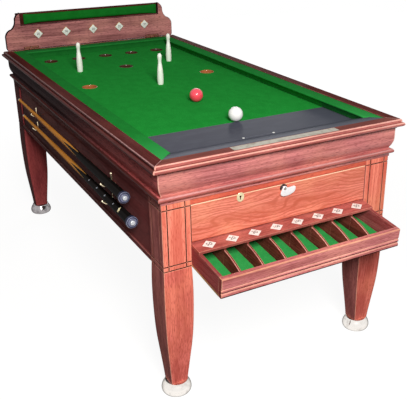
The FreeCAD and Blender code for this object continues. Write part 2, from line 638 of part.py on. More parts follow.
def make_runway():
    """Sloped floor, walls, dividers, cloth lining, label board and the moulded tray front."""
    front = -TRAY_L + TRAY_FRONT_T
    end = run_y(RUNWAY_END_Y)
    floor = box(-RUNWAY_X, RUNWAY_X, front, end, -FLOOR_T, 0)
    label = box(-RUNWAY_X, RUNWAY_X, -LABEL_BOARD_W, LABEL_BOARD_IN, WALL_H, LABEL_TOP)
    save("runway_floor", on_runway(floor))
    save("label_board", on_runway(label))
    walls = [box(-RUNWAY_X, -INNER_X, front, end, 0, WALL_H),
             box(INNER_X, RUNWAY_X, front, end, 0, WALL_H),
             box(-INNER_X, INNER_X, end - WALL_T, end, 0, WALL_H)]
    save("runway_walls", *[on_runway(piece) for piece in walls])

    tray, runway = [], []
    for line, reach in divider_lines():
        points = [(x, run_y(y)) for x, y in line]
        if line[-1][1] == RUNWAY_END_Y:
            points[-1] = (points[-1][0], end - WALL_T)
        points.insert(0, (points[0][0], -LABEL_BOARD_W))
        room = box(-INNER_X, reach, front, end - WALL_T, 0, WALL_H)
        runway += [on_runway(board.common(room)) for board in boards(points, WALL_H)]
        tray.append(on_runway(tray_divider(points[0][0], front)))
    save("runway_dividers", *runway)
    save("tray_dividers", *tray)

    strips, plates = [], []
    for lane in range(LANES):
        centre = (lane - (LANES - 1) / 2) * LANE_PITCH
        half = (LANE_PITCH - DIVIDER_T) / 2
        strips.append(on_runway(box(centre - half, centre + half, front, LINING_L, 0, LINING_T)))
        y = -PLATE_SETBACK
        plate = plan([(centre - PLATE_HALF_X, y), (centre, y - PLATE_HALF_Y),
                      (centre + PLATE_HALF_X, y), (centre, y + PLATE_HALF_Y)],
                     LABEL_TOP, LABEL_TOP + PLATE_T)
        plates.append(on_runway(plate))
    save("tray_lining", *strips)
    save("number_plates", *plates)

    face = -TRAY_L
    top = WALL_H
    quirk = face + 3
    profile = [(front, -FLOOR_T), (front, top), (face + 2, top), (face, top - 2), (face, 27.0),
               (quirk, 25.0), (quirk, 23.5), ((face - 1, 17.5), (quirk, 11.5)), (quirk, 10.5),
               ((face - 2.5, 2.5), (quirk, -FLOOR_T + 0.5)), (quirk, -FLOOR_T)]
    save("tray_front", on_runway(prism(profile, lambda y, z: V(-RUNWAY_X, y, z),
                                       V(2 * RUNWAY_X, 0, 0))))
    reach = PANEL_X - PANEL_T
    bearers = []
    for y in RUNWAY_BEARER_Y:
        middle = run_y(y)
        bearers.append(on_runway(box(-reach, reach, middle - RUNWAY_BEARER_W / 2,
                                     middle + RUNWAY_BEARER_W / 2,
                                     -FLOOR_T - RUNWAY_BEARER_H, -FLOOR_T)))
    save("runway_bearers", *bearers)


# ================================================================ drop-front flap, lock and catch

def lock_bolt_y():
    """Front face of the lock's bolt, which runs inside the flap's thickness."""
    return FLAP_FACE + FLAP_T - LOCK_T / 2 - BOLT_T / 2


def keyhole(y0, y1):
    """Keyhole-shaped cutter along Y."""
    eye = Part.makeCylinder(KEYHOLE_R, y1 - y0, V(LOCK_X, y0, KEYHOLE_Z), V(0, 1, 0))
    slot = box(LOCK_X - KEYHOLE_SLOT / 2, LOCK_X + KEYHOLE_SLOT / 2, y0, y1,
               KEYHOLE_Z - KEYHOLE_DROP, KEYHOLE_Z)
    return eye.fuse(slot)


def make_flap():
    """Flap that drops forward on two end pivots, with its mortised lock and key plate."""
    back = FLAP_FACE + FLAP_T
    half = LEG_INNER_X - FLAP_GAP
    corner = PIVOT_IN * (1 - math.cos(math.pi / 4))
    section = [(FLAP_FACE + PIVOT_IN, FLAP_BOTTOM), (back, FLAP_BOTTOM), (back, FLAP_TOP),
               (FLAP_FACE + FLAP_CHAMFER, FLAP_TOP), (FLAP_FACE, FLAP_TOP - FLAP_CHAMFER),
               (FLAP_FACE, FLAP_BOTTOM + PIVOT_IN),
               ((FLAP_FACE + corner, FLAP_BOTTOM + corner), (FLAP_FACE + PIVOT_IN, FLAP_BOTTOM))]
    flap = prism(section, lambda y, z: V(-half, y, z), V(2 * half, 0, 0))
    lock = box(LOCK_X - LOCK_W / 2, LOCK_X + LOCK_W / 2, back - LOCK_T, back,
               FLAP_TOP - LOCK_H, FLAP_TOP)
    screw_hole = Part.makeCylinder(CATCH_PIN_R, FLAP_T - 4, V(0, FLAP_FACE, CATCH_Z), V(0, 1, 0))
    flap = flap.cut(lock).cut(keyhole(FLAP_FACE - 1, back)).cut(screw_hole)
    pins = []
    for side in SIDES:
        start = V(side * (half - PIVOT_L), PIVOT_Y, PIVOT_Z)
        pin = Part.makeCylinder(PIVOT_R, 2 * PIVOT_L, start, V(side, 0, 0))
        pins.append(pin)
        flap = flap.cut(pin)
    save("front_flap", flap)
    save("flap_pivots", *pins)

    bolt_y = lock_bolt_y()
    play = BOLT_PLAY
    bolt_top = FLAP_TOP - 0.5
    cavity = box(LOCK_X - BOLT_W / 2 - play, LOCK_X + BOLT_W / 2 + play, bolt_y - play,
                 bolt_y + BOLT_T + play, bolt_top - BOLT_H - play, FLAP_TOP + 1)
    case = lock.cut(cavity).cut(keyhole(FLAP_FACE - 1, bolt_y))
    save("lock_case", case)
    bolt = box(LOCK_X - BOLT_W / 2, LOCK_X + BOLT_W / 2, bolt_y, bolt_y + BOLT_T,
               bolt_top - BOLT_H, bolt_top)
    save("lock_bolt", bolt)

    oval = Part.Face(Part.Wire([Part.Ellipse(V(0, 0, 0), PLATE_OVAL_Z, PLATE_OVAL_X).toShape()]))
    plate = oval.extrude(V(0, 0, PLATE_OVAL_T))
    plate.rotate(V(0, 0, 0), V(0, 0, 1), 90)
    plate.rotate(V(0, 0, 0), V(1, 0, 0), 90)
    plate.translate(V(LOCK_X, FLAP_FACE, KEYHOLE_Z))
    save("key_plate", plate.cut(keyhole(FLAP_FACE - PLATE_OVAL_T - 1, FLAP_FACE)))


def make_catch():
    """Turn-catch: a comma-shaped lever on a shouldered screw in the middle of the flap."""
    face = FLAP_FACE - CATCH_STAND
    r = CATCH_R
    lever = prism([(-r * 0.4, r), ((-r, 0.0), (-r * 0.9, -r * 1.3)),
                   ((-r * 0.2, -r * 1.55), (r * 0.9, -r)), ((r * 1.9, -r * 0.35), (CATCH_TAIL - 4, -r)),
                   ((CATCH_TAIL, -r * 0.55), (CATCH_TAIL - 2, r * 0.1)),
                   ((r * 2.0, r * 0.45), (r * 0.6, r * 0.8)), ((r * 0.1, r * 1.02), (-r * 0.4, r))],
                  lambda x, z: V(x, face, CATCH_Z + z), V(0, -CATCH_T, 0))
    bore = Part.makeCylinder(CATCH_BORE_R, CATCH_T + 2, V(0, face + 1, CATCH_Z), V(0, -1, 0))
    save("catch_lever", lever.cut(bore))
    length = FLAP_T - 4 + CATCH_STAND + CATCH_T + SEAT_GAP
    shank = Part.makeCylinder(CATCH_PIN_R, length, V(0, FLAP_FACE + FLAP_T - 4, CATCH_Z),
                              V(0, -1, 0))
    head_y = face - CATCH_T - SEAT_GAP
    head = Part.makeCone(CATCH_PIN_R * 1.9, CATCH_PIN_R * 1.2, CATCH_PIN_R, V(0, head_y, CATCH_Z),
                         V(0, -1, 0))
    washer = Part.makeCylinder(CATCH_PIN_R * 1.8, CATCH_STAND - SEAT_GAP, V(0, FLAP_FACE, CATCH_Z),
                               V(0, -1, 0))
    save("catch_screw", shank.fuse(head).fuse(washer).removeSplitter())


# ================================================================ folding headboard

def board_outline():
    """Half of the headboard's outline, from the rail up to the cut-out, as (x, height)."""
    w = BOARD_HALF
    base = RAIL_TOP + BOARD_LIFT
    shoulder = RAIL_TOP + SHOULDER_Z
    top = RAIL_TOP + BOARD_H
    return [(w - 4, base), (w, base + 10), (w, shoulder),
            ((w - 10, shoulder + 24), (w - 32, shoulder + 37)),
            ((w - 46, shoulder + 54), (w - 52, shoulder + 84)),
            ((w - 60, top - 15), (w - 78, top - 1)), (NOTCH_HALF, top),
            (NOTCH_HALF, top - NOTCH_H)]


def mirrored(half):
    """Closed outline from its right-hand half, which starts at the base and ends at the top."""
    back = []
    previous = half[-1]
    for step in reversed(half[:-1]):
        start = step[1] if isinstance(step[0], tuple) else step
        if isinstance(previous[0], tuple):
            back.append(((-previous[0][0], previous[0][1]), (-start[0], start[1])))
        else:
            back.append((-start[0], start[1]))
        previous = step
    last = half[-1]
    return half + [(-last[0], last[1])] + back


def make_headboard():
    """Scalloped board with a cut-out, the board and green pad behind it, plates and hinges."""
    face = BOARD_FACE
    top = RAIL_TOP + BOARD_H
    board = prism(mirrored(board_outline()), lambda x, z: V(x, face, z), V(0, BOARD_T, 0))
    save("headboard", board)
    rear = face + BOARD_T
    notch = top - NOTCH_H
    back = [(BACK_HALF, notch - BACK_LAP), (BACK_HALF, top - PAD_TOP)]
    save("headboard_back", prism(mirrored(back), lambda x, z: V(x, rear, z), V(0, BACK_T, 0)))
    save("headboard_pad", box(-NOTCH_HALF + PAD_LEFT, NOTCH_HALF - SOFT_GAP, face + PAD_FACE, rear,
                              notch + SOFT_GAP, top - PAD_TOP))
    plates = []
    s = SCORE_HALF
    z = RAIL_TOP + SCORE_Z
    for index in range(SCORE_COUNT):
        x = (index - (SCORE_COUNT - 1) / 2) * SCORE_PITCH
        plates.append(prism([(x - s, z), (x, z - s), (x + s, z), (x, z + s)],
                            lambda px, pz: V(px, face, pz), V(0, -PLATE_T, 0)))
    save("score_plates", *plates)

    axis_y = face - KNUCKLE_R - KNUCKLE_GAP
    axis_z = RAIL_TOP + KNUCKLE_R + KNUCKLE_GAP
    third = HINGE_L / 3
    fixed, moving = [], []
    for side in SIDES:
        x0 = side * HINGE_X - HINGE_L / 2
        x1 = x0 + HINGE_L
        hole = Part.makeCylinder(HINGE_PIN_R + PIVOT_PLAY, HINGE_L, V(x0, axis_y, axis_z), V(1, 0, 0))
        leaf = box(x0, x1, axis_y + KNUCKLE_R + KNUCKLE_GAP, face + BOARD_T, RAIL_TOP,
                   RAIL_TOP + LEAF_T)
        for start in (x0, x1 - third + KNUCKLE_GAP):
            length = third - KNUCKLE_GAP
            knuckle = Part.makeCylinder(KNUCKLE_R, length, V(start, axis_y, axis_z), V(1, 0, 0))
            root = box(start, start + length, axis_y, axis_y + KNUCKLE_R + KNUCKLE_GAP + 1,
                       RAIL_TOP, RAIL_TOP + LEAF_T)
            leaf = leaf.fuse(knuckle).fuse(root)
        fixed.append(leaf.cut(hole).removeSplitter())
        pin = Part.makeCylinder(HINGE_PIN_R, HINGE_L, V(x0, axis_y, axis_z), V(1, 0, 0))
        knuckle = Part.makeCylinder(KNUCKLE_R, third - KNUCKLE_GAP,
                                    V(x0 + third + KNUCKLE_GAP / 2, axis_y, axis_z), V(1, 0, 0))
        low = axis_z + KNUCKLE_R + KNUCKLE_GAP
        flag = box(x0, x1, face - LEAF_T, face, low, low + LEAF_W)
        root = box(x0 + third + KNUCKLE_GAP / 2, x0 + 2 * third - KNUCKLE_GAP / 2, face - LEAF_T,
                   face, axis_z, low + 1)
        web = box(x0 + third + KNUCKLE_GAP / 2, x0 + 2 * third - KNUCKLE_GAP / 2, axis_y,
                  face, axis_z, axis_z + KNUCKLE_R - 0.5)
        moving.append(knuckle.fuse(web).fuse(root).fuse(flag).fuse(pin).removeSplitter())
    save("hinge_rail_leaves", *fixed)
    save("hinge_board_leaves", *moving)


# ================================================================ cues, hooks, balls, skittles

def cue_radius(distance):
    """Radius of a cue at a distance from its butt end."""
    if distance < CUE_BUTT_L:
        return CUE_BUTT_R + (CUE_JOINT_R - CUE_BUTT_R) * distance / CUE_BUTT_L
    share = (distance - CUE_BUTT_L) / (CUE_L - CUE_BUTT_L)
    return CUE_JOINT_R + (CUE_TIP_R - CUE_JOINT_R) * share


def make_cue(name, z, end_y):
    """One cue along Y: tapered shaft, thicker spliced butt, and end cap with its bumper."""
    x = -PANEL_X - CUE_OUT
    joint = end_y + CUE_BUTT_L
    tip = end_y + CUE_L
    save("cue_%s_shaft" % name, turned_y([(0, joint), (CUE_JOINT_R, joint), (CUE_TIP_R, tip - 2),
                                          (CUE_TIP_R - 1.5, tip), (0, tip)], x, z))
    save("cue_%s_butt" % name, turned_y([(0, end_y + CUE_CAP_L), (cue_radius(0), end_y + CUE_CAP_L),
                                         (CUE_JOINT_R, joint), (0, joint)], x, z))
    rim = CUE_CAP_R - 2
    save("cue_%s_cap" % name, turned_y(
        [(0, end_y - CUE_BUMPER_L), (CUE_BUMPER_R - 2, end_y - CUE_BUMPER_L),
         (CUE_BUMPER_R, end_y - CUE_BUMPER_L + 2), (CUE_BUMPER_R, end_y), (rim, end_y),
         (CUE_CAP_R, end_y + 2), (CUE_CAP_R, end_y + CUE_CAP_L), (0, end_y + CUE_CAP_L)], x, z))


def make_hook(y, z, cue_r, wire_r):
    """Wire hook: post from the panel, upright with a ball end, bowl under the cue, flared lip."""
    x = -PANEL_X - CUE_OUT
    bowl = cue_r + CUE_CLEAR + wire_r
    cos45 = math.cos(math.pi / 4)
    top = V(x + bowl, y, z + HOOK_RISE)
    side = V(x + bowl, y, z)
    bottom = V(x, y, z - bowl)
    flank = V(x - bowl * cos45, y, z - bowl * cos45)
    lip = V(flank.x - HOOK_LIP * cos45, y, flank.z + HOOK_LIP * cos45)
    path = [Part.makeLine(top, side), Part.Arc(side, bottom, flank).toShape(),
            Part.makeLine(flank, lip)]
    wire = pipe(path, wire_r, top, V(0, 0, -1))
    post_z = z + HOOK_RISE * 0.6
    post = Part.makeCylinder(wire_r, -PANEL_X - side.x, V(side.x, y, post_z), V(1, 0, 0))
    rose = Part.makeCylinder(HOOK_ROSE_R, HOOK_ROSE_T, V(-PANEL_X, y, post_z), V(-1, 0, 0))
    hook = wire.fuse(post).fuse(rose)
    for end, radius in ((top, wire_r * 1.35), (lip, wire_r)):
        hook = hook.fuse(Part.makeSphere(radius, end))
    return hook.removeSplitter()


def make_cues():
    """Two cues and the four hooks that carry them on the left side."""
    hooks = []
    for name, z, end_y in (("upper", CUE_HIGH_Z, CUE_HIGH_END_Y), ("lower", CUE_LOW_Z, CUE_LOW_END_Y)):
        make_cue(name, z, end_y)
        for y, wire_r in ((HOOK_FRONT_Y, HOOK_FRONT_R), (HOOK_BACK_Y, HOOK_BACK_R)):
            widest = cue_radius(y - wire_r - end_y)
            hooks.append(make_hook(y, z, widest, wire_r))
    save("cue_hooks", *hooks)


def make_balls():
    """One red ball and one white ball on the cloth."""
    for name, (x, out) in (("red", RED_BALL), ("white", WHITE_BALL)):
        centre = V(x, -HALF_L + out, BED_TOP + SEAT_GAP + BALL_R)
        save("ball_%s" % name, Part.makeSphere(BALL_R, centre))


def make_skittles():
    """Three turned skittles that stand on the cloth."""
    base = BED_TOP + SEAT_GAP
    crown = V(0, 0, base + SKITTLE_H)
    knots = [V(r, 0, base + share * SKITTLE_H) for share, r in SKITTLE_PROFILE] + [crown]
    side = Part.BSplineCurve()
    side.interpolate(knots)
    wire = Part.Wire([Part.makeLine(V(0, 0, base), knots[0]), side.toShape(),
                      Part.makeLine(crown, V(0, 0, base))])
    pin = Part.Face(wire).revolve(V(0, 0, 0), V(0, 0, 1), 360)
    for name, x, inset in (("left", -SKITTLE_X, SKITTLE_PAIR_IN), ("right", SKITTLE_X, SKITTLE_PAIR_IN),
                           ("centre", 0.0, SKITTLE_CENTRE_IN)):
        placed = pin.copy()
        placed.translate(V(x, HALF_L - inset, 0))
        save("skittle_%s" % name, placed)


make_cap()
make_frieze()
make_legs()
make_feet()
make_carcass()
make_bed()
make_cushions()
make_runway()
make_flap()
make_catch()
make_headboard()
make_cues()
make_balls()
make_skittles()
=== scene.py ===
"""Bar-room bagatelle table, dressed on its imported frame: polish, cloth, metal, play pieces and studio."""

import logging
import math
from collections.abc import Callable, Sequence
from dataclasses import dataclass
from enum import Enum, IntEnum

import bmesh
import bpy
from mathutils import Euler, Matrix, Vector


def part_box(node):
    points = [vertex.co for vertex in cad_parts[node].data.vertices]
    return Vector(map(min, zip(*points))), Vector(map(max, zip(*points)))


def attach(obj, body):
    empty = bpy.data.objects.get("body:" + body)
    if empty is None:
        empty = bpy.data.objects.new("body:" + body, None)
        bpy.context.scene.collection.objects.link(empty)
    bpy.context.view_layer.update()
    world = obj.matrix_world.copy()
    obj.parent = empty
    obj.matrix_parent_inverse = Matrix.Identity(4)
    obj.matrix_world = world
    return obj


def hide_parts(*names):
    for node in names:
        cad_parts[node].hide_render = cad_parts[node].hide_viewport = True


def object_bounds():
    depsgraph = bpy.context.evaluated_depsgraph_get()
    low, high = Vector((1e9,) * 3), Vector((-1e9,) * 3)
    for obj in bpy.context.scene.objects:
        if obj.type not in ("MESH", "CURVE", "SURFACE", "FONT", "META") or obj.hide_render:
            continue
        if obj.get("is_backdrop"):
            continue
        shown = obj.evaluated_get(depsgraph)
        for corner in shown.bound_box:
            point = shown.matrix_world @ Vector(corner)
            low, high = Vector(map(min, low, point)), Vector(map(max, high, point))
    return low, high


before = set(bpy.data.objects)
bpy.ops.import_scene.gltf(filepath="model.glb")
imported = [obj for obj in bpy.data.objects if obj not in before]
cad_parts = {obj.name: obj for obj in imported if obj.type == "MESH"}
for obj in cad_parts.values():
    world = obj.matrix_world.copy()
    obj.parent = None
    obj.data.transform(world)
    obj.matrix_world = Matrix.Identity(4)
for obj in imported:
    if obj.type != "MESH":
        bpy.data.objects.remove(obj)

log = logging.getLogger("bagatelle")

Point = tuple[float, float, float]
Pair = tuple[float, float]
Layer = tuple[float, float, float]       # underside, top and rolled edge of a flat piece
Places = Sequence[tuple[Point, Point]]   # positions and Euler angles
Ends = Callable[[float, float], Point]   # where a section's point, as (inset, height), comes to lie
Piece = bpy.types.Object
Mesh = bpy.types.Mesh
Shape = bmesh.types.BMesh
Face = bmesh.types.BMFace
Tree = bpy.types.NodeTree
Socket = bpy.types.NodeSocket

SHIFT_Y = 0.077          # table's centre to the frame's origin, along Y
SLOPE = math.radians(6)  # ball return, down towards the player
HALF_W = 0.4675          # cap rail's outer edges from the table's centre
HALF_L = 0.9255
RAIL_TOP = 0.850         # above the floor
BOARD_FACE = 0.897       # headboard's front, from the table's centre
CROWN_LEAN = (0.42, 0.9)           # upward lean of the faces on a bead's crown, which get a painted highlight
FLAT_LEAN = 0.97                   # lean of faces that lie level
LEVEL = (0.0, 0.0, 0.0)
UPRIGHT = (math.pi / 2, 0.0, 0.0)  # stands a flat part up to face the player
ANY_TURN = 3.0                     # most that a screw's slot is turned, in radians


# ---------------------------------------------------------------- nodes and colours

def linear(code: str) -> tuple[float, float, float, float]:
    """Linear colour of an sRGB hex value.

    Args:
        code: colour such as "#a0522d".

    Returns:
        Red, green, blue and an alpha of 1.
    """
    steps = [int(code[i:i + 2], 16) / 255 for i in (1, 3, 5)]
    red, green, blue = (s / 12.92 if s <= 0.04045 else ((s + 0.055) / 1.055) ** 2.4 for s in steps)
    return (red, green, blue, 1.0)


def fill(tree: Tree, made: bpy.types.Node, inputs: dict) -> None:
    """Give a node's inputs their values, or link them from output sockets.

    Args:
        tree: the node's tree.
        made: the node.
        inputs: socket name or index to a value or an output socket.
    """
    for key, value in inputs.items():
        if isinstance(value, Socket):
            tree.links.new(value, made.inputs[key])
        else:
            made.inputs[key].default_value = value


def node(tree: Tree, kind: str, inputs: dict | None = None, **settings: object) -> bpy.types.Node:
    """Add one node with its settings, values and links.

    Args:
        tree: tree that the node goes in.
        kind: the node's type name.
        inputs: as for fill().
        settings: the node's own properties.

    Returns:
        The new node.
    """
    made = tree.nodes.new(kind)
    for key, value in settings.items():
        setattr(made, key, value)
    fill(tree, made, inputs or {})
    return made


def cleared(owner: bpy.types.Material | bpy.types.World) -> Tree:
    """Empty the node tree of a material or world.

    Args:
        owner: the material or world.

    Returns:
        Its tree.
    """
    owner.use_nodes = True
    owner.node_tree.nodes.clear()
    return owner.node_tree


class Brush:
    """Adds nodes to one material; its patterns lie on the object's own coordinates, in metres."""

    def __init__(self, tree: Tree) -> None:
        """Start with the shader and the output.

        Args:
            tree: the material's tree.
        """
        self.tree = tree
        self.shader = node(tree, "ShaderNodeBsdfPrincipled")
        node(tree, "ShaderNodeOutputMaterial", {"Surface": self.shader.outputs["BSDF"]})

    def surface(self, inputs: dict) -> None:
        """Give the shader's inputs their values or links."""
        fill(self.tree, self.shader, inputs)

    def place(self) -> Socket:
        """The object's own coordinates."""
        return node(self.tree, "ShaderNodeTexCoord").outputs["Object"]

    def along(self, axis: str) -> Socket:
        """One of the object's own coordinates."""
        return node(self.tree, "ShaderNodeSeparateXYZ", {"Vector": self.place()}).outputs[axis]

    def noise(self, scale: Point, detail: float = 2.0, warp: float = 0.0, shift: Point = LEVEL) -> Socket:
        """Noise factor.

        Args:
            scale: pattern repeats per metre along X, Y and Z.
            detail: octaves.
            warp: distortion.
            shift: offset, so that two patterns differ.

        Returns:
            The factor's socket.
        """
        spread = node(self.tree, "ShaderNodeMapping",
                      {"Vector": self.place(), "Scale": scale, "Location": shift}).outputs["Vector"]
        return node(self.tree, "ShaderNodeTexNoise", {"Vector": spread, "Scale": 1.0, "Detail": detail,
                                                      "Distortion": warp}).outputs["Fac"]

    def between(self, value: Socket, low: float, high: float, to_low: float = 0.0,
                to_high: float = 1.0) -> Socket:
        """Value eased from one range to another."""
        return node(self.tree, "ShaderNodeMapRange", {0: value, 1: low, 2: high, 3: to_low, 4: to_high},
                    interpolation_type="SMOOTHSTEP").outputs[0]

    def sum(self, kind: str, first: object, second: object) -> Socket:
        """One arithmetic step on two values."""
        return node(self.tree, "ShaderNodeMath", {0: first, 1: second}, operation=kind).outputs[0]

    def mixed(self, share: Socket, *colours: Socket | str) -> Socket:
        """Two colours mixed by a share, each a socket or a hex value."""
        first, second = (linear(c) if isinstance(c, str) else c for c in colours)
        return node(self.tree, "ShaderNodeMix", {0: share, 6: first, 7: second}, data_type="RGBA").outputs[2]

    def over(self, colour: Socket | str, share: Socket, most: float, top: Socket | str) -> Socket:
        """Colour with another over it, as thick as a share of the most."""
        return self.mixed(self.sum("MULTIPLY", share, most), colour, top)

    def bump(self, height: Socket, strength: float, depth: float) -> None:
        """Raise the surface by a height pattern that is so many metres deep."""
        bump = node(self.tree, "ShaderNodeBump", {"Height": height, "Strength": strength, "Distance": depth})
        self.surface({"Normal": bump.outputs["Normal"]})


class Grain(Enum):
    """Way that a board's fibres run."""

    X = 0
    Y = 1
    Z = 2

    def scale(self, along: float, across: float) -> Point:
        """Pattern scale per metre, along the fibres and across them."""
        return tuple(along if axis == self.value else across for axis in range(3))


class Figure(Enum):
    """Look of the annual rings on a board's face."""

    RIBBON = "quarter-cut, straight ribbons"
    FLAME = "crown-cut, wavy rings"


class Mark(IntEnum):
    """Place of a finish in the list of an eased piece."""

    FACE = 0
    ARRIS = 1
    WAX_AND_SHADE = 2
    BEAD = BLOCK = INSIDE = EDGE = 3
    CROWN = OUTER = 4
    MOULDING = 5


# ---------------------------------------------------------------- finishes

@dataclass(frozen=True)
class Finish:
    """Base of every finish: one material, made once and found again by its name."""

    name: str

    def material(self) -> bpy.types.Material:
        """The finish as a material.

        Returns:
            The material, new or made before.
        """
        found = bpy.data.materials.get(self.name)
        if found is None:
            found = bpy.data.materials.new(self.name)
            self.paint(Brush(cleared(found)))
        return found

    def paint(self, brush: Brush) -> None:
        """Fill in the shader through the material's brush."""
        raise NotImplementedError


@dataclass(frozen=True)
class FrenchPolish(Finish):
    """Mahogany under shellac: ribbon or flame figure, dark pores, a thin clear gloss."""

    heart: str = "#8a3c30"
    body: str = "#bf6a58"
    light: str = "#d98a6c"
    grain: Grain = Grain.X
    figure: Figure = Figure.RIBBON
    rubbed: float = 0.0      # share of pale, rubbed-through wood on arrises: partly real wear, partly painted highlight
    gloss: float = 0.3
    shellac: float = 0.06    # clear coat, thickest where a rail is handled
    near: str = ""           # colour towards the player's end: painted light, brighter nearer the lamp
    lines: float = 520.0     # flame lines, in radians per metre
    bare: str = "#f0a98c"

    def paint(self, brush: Brush) -> None:
        """Shellac on mahogany: warm streaks that shift from board to board.

        Args:
            brush: adds the material's nodes.
        """
        scale = self.grain.scale
        # ribbons 20 to 40 mm wide, drawn out over half a metre
        ribbon = brush.between(brush.noise(scale(1.8, 34.0), 3.0, 0.6), 0.36, 0.66)
        # fine streaks: real vessel lines are 0.2 mm wide, drawn here at 3 mm so that they show
        streak = brush.between(brush.noise(scale(7.0, 300.0), 2.0, 0.2, (0.3, 0.7, 0.1)), 0.42, 0.68)
        colour = brush.over(self.body, ribbon, 0.55, self.heart)
        if self.figure is Figure.FLAME:
            colour = brush.over(colour, self.flame(brush), 0.72, self.heart)
        colour = brush.over(colour, streak, 0.58, self.heart)
        # broad warm patches where the polish has faded, a hand's width across
        faded = brush.between(brush.noise((6.0, 6.0, 6.0), 2.0, 0.0, (2.0, 1.0, 4.0)), 0.4, 0.7)
        colour = brush.over(colour, faded, 0.45, self.light)
        # painted light: the colour lightens towards the player's end, nearer the lamp
        if self.near:
            colour = brush.over(colour, brush.between(brush.along("Y"), 0.25, -0.8), 0.85, self.near)
            colour = brush.over(colour, streak, 0.3, self.heart)
        # open pores: dashes 15 mm long, 2 mm apart where real ones are 0.5 mm apart
        pores = brush.between(brush.noise(scale(60.0, 460.0), 2.0, 0.1, (7.0, 3.0, 5.0)), 0.5, 0.74)
        colour = brush.over(colour, pores, 0.75, self.heart)
        if self.rubbed > 0:
            # worn along the edge, in runs 20 to 60 mm long, and partly a painted highlight
            worn = brush.between(brush.noise((28.0, 28.0, 28.0), 3.0), 0.35, 0.62, 0.25, 1.0)
            colour = brush.over(colour, worn, self.rubbed, self.bare)
        cloudy = brush.noise((40.0, 40.0, 40.0), 3.0, 0.0, (5.0, 0.0, 1.0))
        brush.surface({"Base Color": colour, "Specular IOR Level": 0.0, "Coat Roughness": 0.1,
                       "Roughness": brush.between(cloudy, 0.3, 0.7, self.gloss - 0.05, self.gloss + 0.1),
                       "Coat Weight": self.shellac})
        brush.bump(streak, 0.12, 0.0004)

    def flame(self, brush: Brush) -> Socket:
        """Wavy contour lines about 12 mm apart across the grain, bent where a limb grew.

        Args:
            brush: adds the material's nodes.

        Returns:
            Share of the dark line.
        """
        bend = brush.noise(self.grain.scale(4.5, 13.0), 1.0, 0.3, (1.3, 0.0, 0.4))
        across = brush.sum("MULTIPLY", brush.along("Z" if self.grain is Grain.X else "X"), self.lines)
        phase = brush.sum("ADD", across, brush.sum("MULTIPLY", bend, 44.0))
        return brush.between(brush.sum("SINE", phase, 0.0), 0.1, 1.0)


@dataclass(frozen=True)
class GrooveWax(Finish):
    """Old wax and dirt in a cut line, nearly black brown and dull; the same colour is painted shade in gaps,
    under mouldings, round hinge leaves and in the keyhole.
    """

    def paint(self, brush: Brush) -> None:
        """Dull dark wax, lighter where it has chipped out."""
        chips = brush.between(brush.noise((120.0, 120.0, 120.0), 2.0), 0.5, 0.8)
        brush.surface({"Base Color": brush.mixed(chips, "#3a1512", "#6e2f26"), "Roughness": 0.6,
                       "Specular IOR Level": 0.0})


@dataclass(frozen=True)
class BareDeal(Finish):
    """Unpolished pine carcass wood, yellowed and dusty."""

    grain: Grain = Grain.Y

    def paint(self, brush: Brush) -> None:
        """Pale pine with darker summer wood 5 mm apart.

        Args:
            brush: adds the material's nodes.
        """
        rings = brush.between(brush.noise(self.grain.scale(1.5, 90.0), 3.0, 0.8), 0.4, 0.6)
        dust = brush.between(brush.noise((9.0, 9.0, 9.0), 3.0), 0.4, 0.7)
        colour = brush.over(brush.over("#c9a06c", rings, 0.6, "#9c6b3c"), dust, 0.4, "#8d7a62")
        brush.surface({"Base Color": colour, "Roughness": 0.75, "Specular IOR Level": 0.1})


@dataclass(frozen=True)
class Baize(Finish):
    """Napped wool billiard cloth, brushed towards the headboard."""

    body: str = "#2aa044"
    deep: str = "#1c8534"
    near: str = ""           # colour at the player's end: painted light, brighter nearer the lamp

    def paint(self, brush: Brush) -> None:
        """Bright green wool with a soft nap over its weave.

        Args:
            brush: adds the material's nodes.
        """
        # nap clumps: fibres 0.02 mm thick lie in tufts 2 to 4 mm long, drawn at 5 mm so that they show
        nap = brush.noise((340.0, 190.0, 340.0), 3.0, 0.4)
        mottle = brush.between(brush.noise((34.0, 22.0, 34.0), 3.0, 0.0, (1.0, 2.0, 3.0)), 0.35, 0.68)
        colour = brush.mixed(brush.between(nap, 0.35, 0.7, 0.0, 0.6), self.body, self.deep)
        colour = brush.over(colour, mottle, 0.35, self.deep)
        # painted light: the cloth lightens towards the player's end, nearer the lamp
        if self.near:
            colour = brush.mixed(brush.between(brush.along("Y"), -0.5, -0.85), colour, self.near)
        brush.surface({"Base Color": colour, "Roughness": 0.95, "Specular IOR Level": 0.0,
                       "Sheen Weight": 0.01, "Sheen Roughness": 0.5})
        # weave under the nap: 1.1 mm between threads
        weave = node(brush.tree, "ShaderNodeTexWave", {"Vector": brush.place(), "Scale": 290.0,
                                                       "Distortion": 0.6}, bands_direction="DIAGONAL")
        brush.bump(brush.sum("ADD", nap, brush.sum("MULTIPLY", weave.outputs["Fac"], 0.3)), 0.35, 0.0008)


@dataclass(frozen=True)
class BaulkCloth(Finish):
    """Coated dark cloth, rubbed smooth by balls and cues so that it shines a little."""

    body: str = "#484955"
    gloss: float = 0.3

    def paint(self, brush: Brush) -> None:
        """Blue-grey coated cloth with chalk haze, and painted light that lightens it towards the right.

        Args:
            brush: adds the material's nodes.
        """
        haze = brush.between(brush.noise((14.0, 30.0, 14.0), 3.0, 0.2), 0.4, 0.7)
        grain = brush.noise((500.0, 500.0, 500.0), 2.0)
        colour = brush.over(self.body, haze, 0.3, "#5b5c67")
        colour = brush.mixed(brush.between(grain, 0.4, 0.7, 0.0, 0.25), colour, "#33343f")
        # painted light: lighter towards the right, where the lamp at the left lights the cloth less
        colour = brush.over(colour, brush.between(brush.along("X"), -0.3, 0.4), 0.7, "#585b65")
        brush.surface({"Base Color": colour, "Specular IOR Level": 0.0, "Coat Weight": 0.12,
                       "Roughness": brush.between(haze, 0.0, 1.0, self.gloss, self.gloss + 0.14),
                       "Coat Roughness": 0.24})
        brush.bump(grain, 0.2, 0.0003)


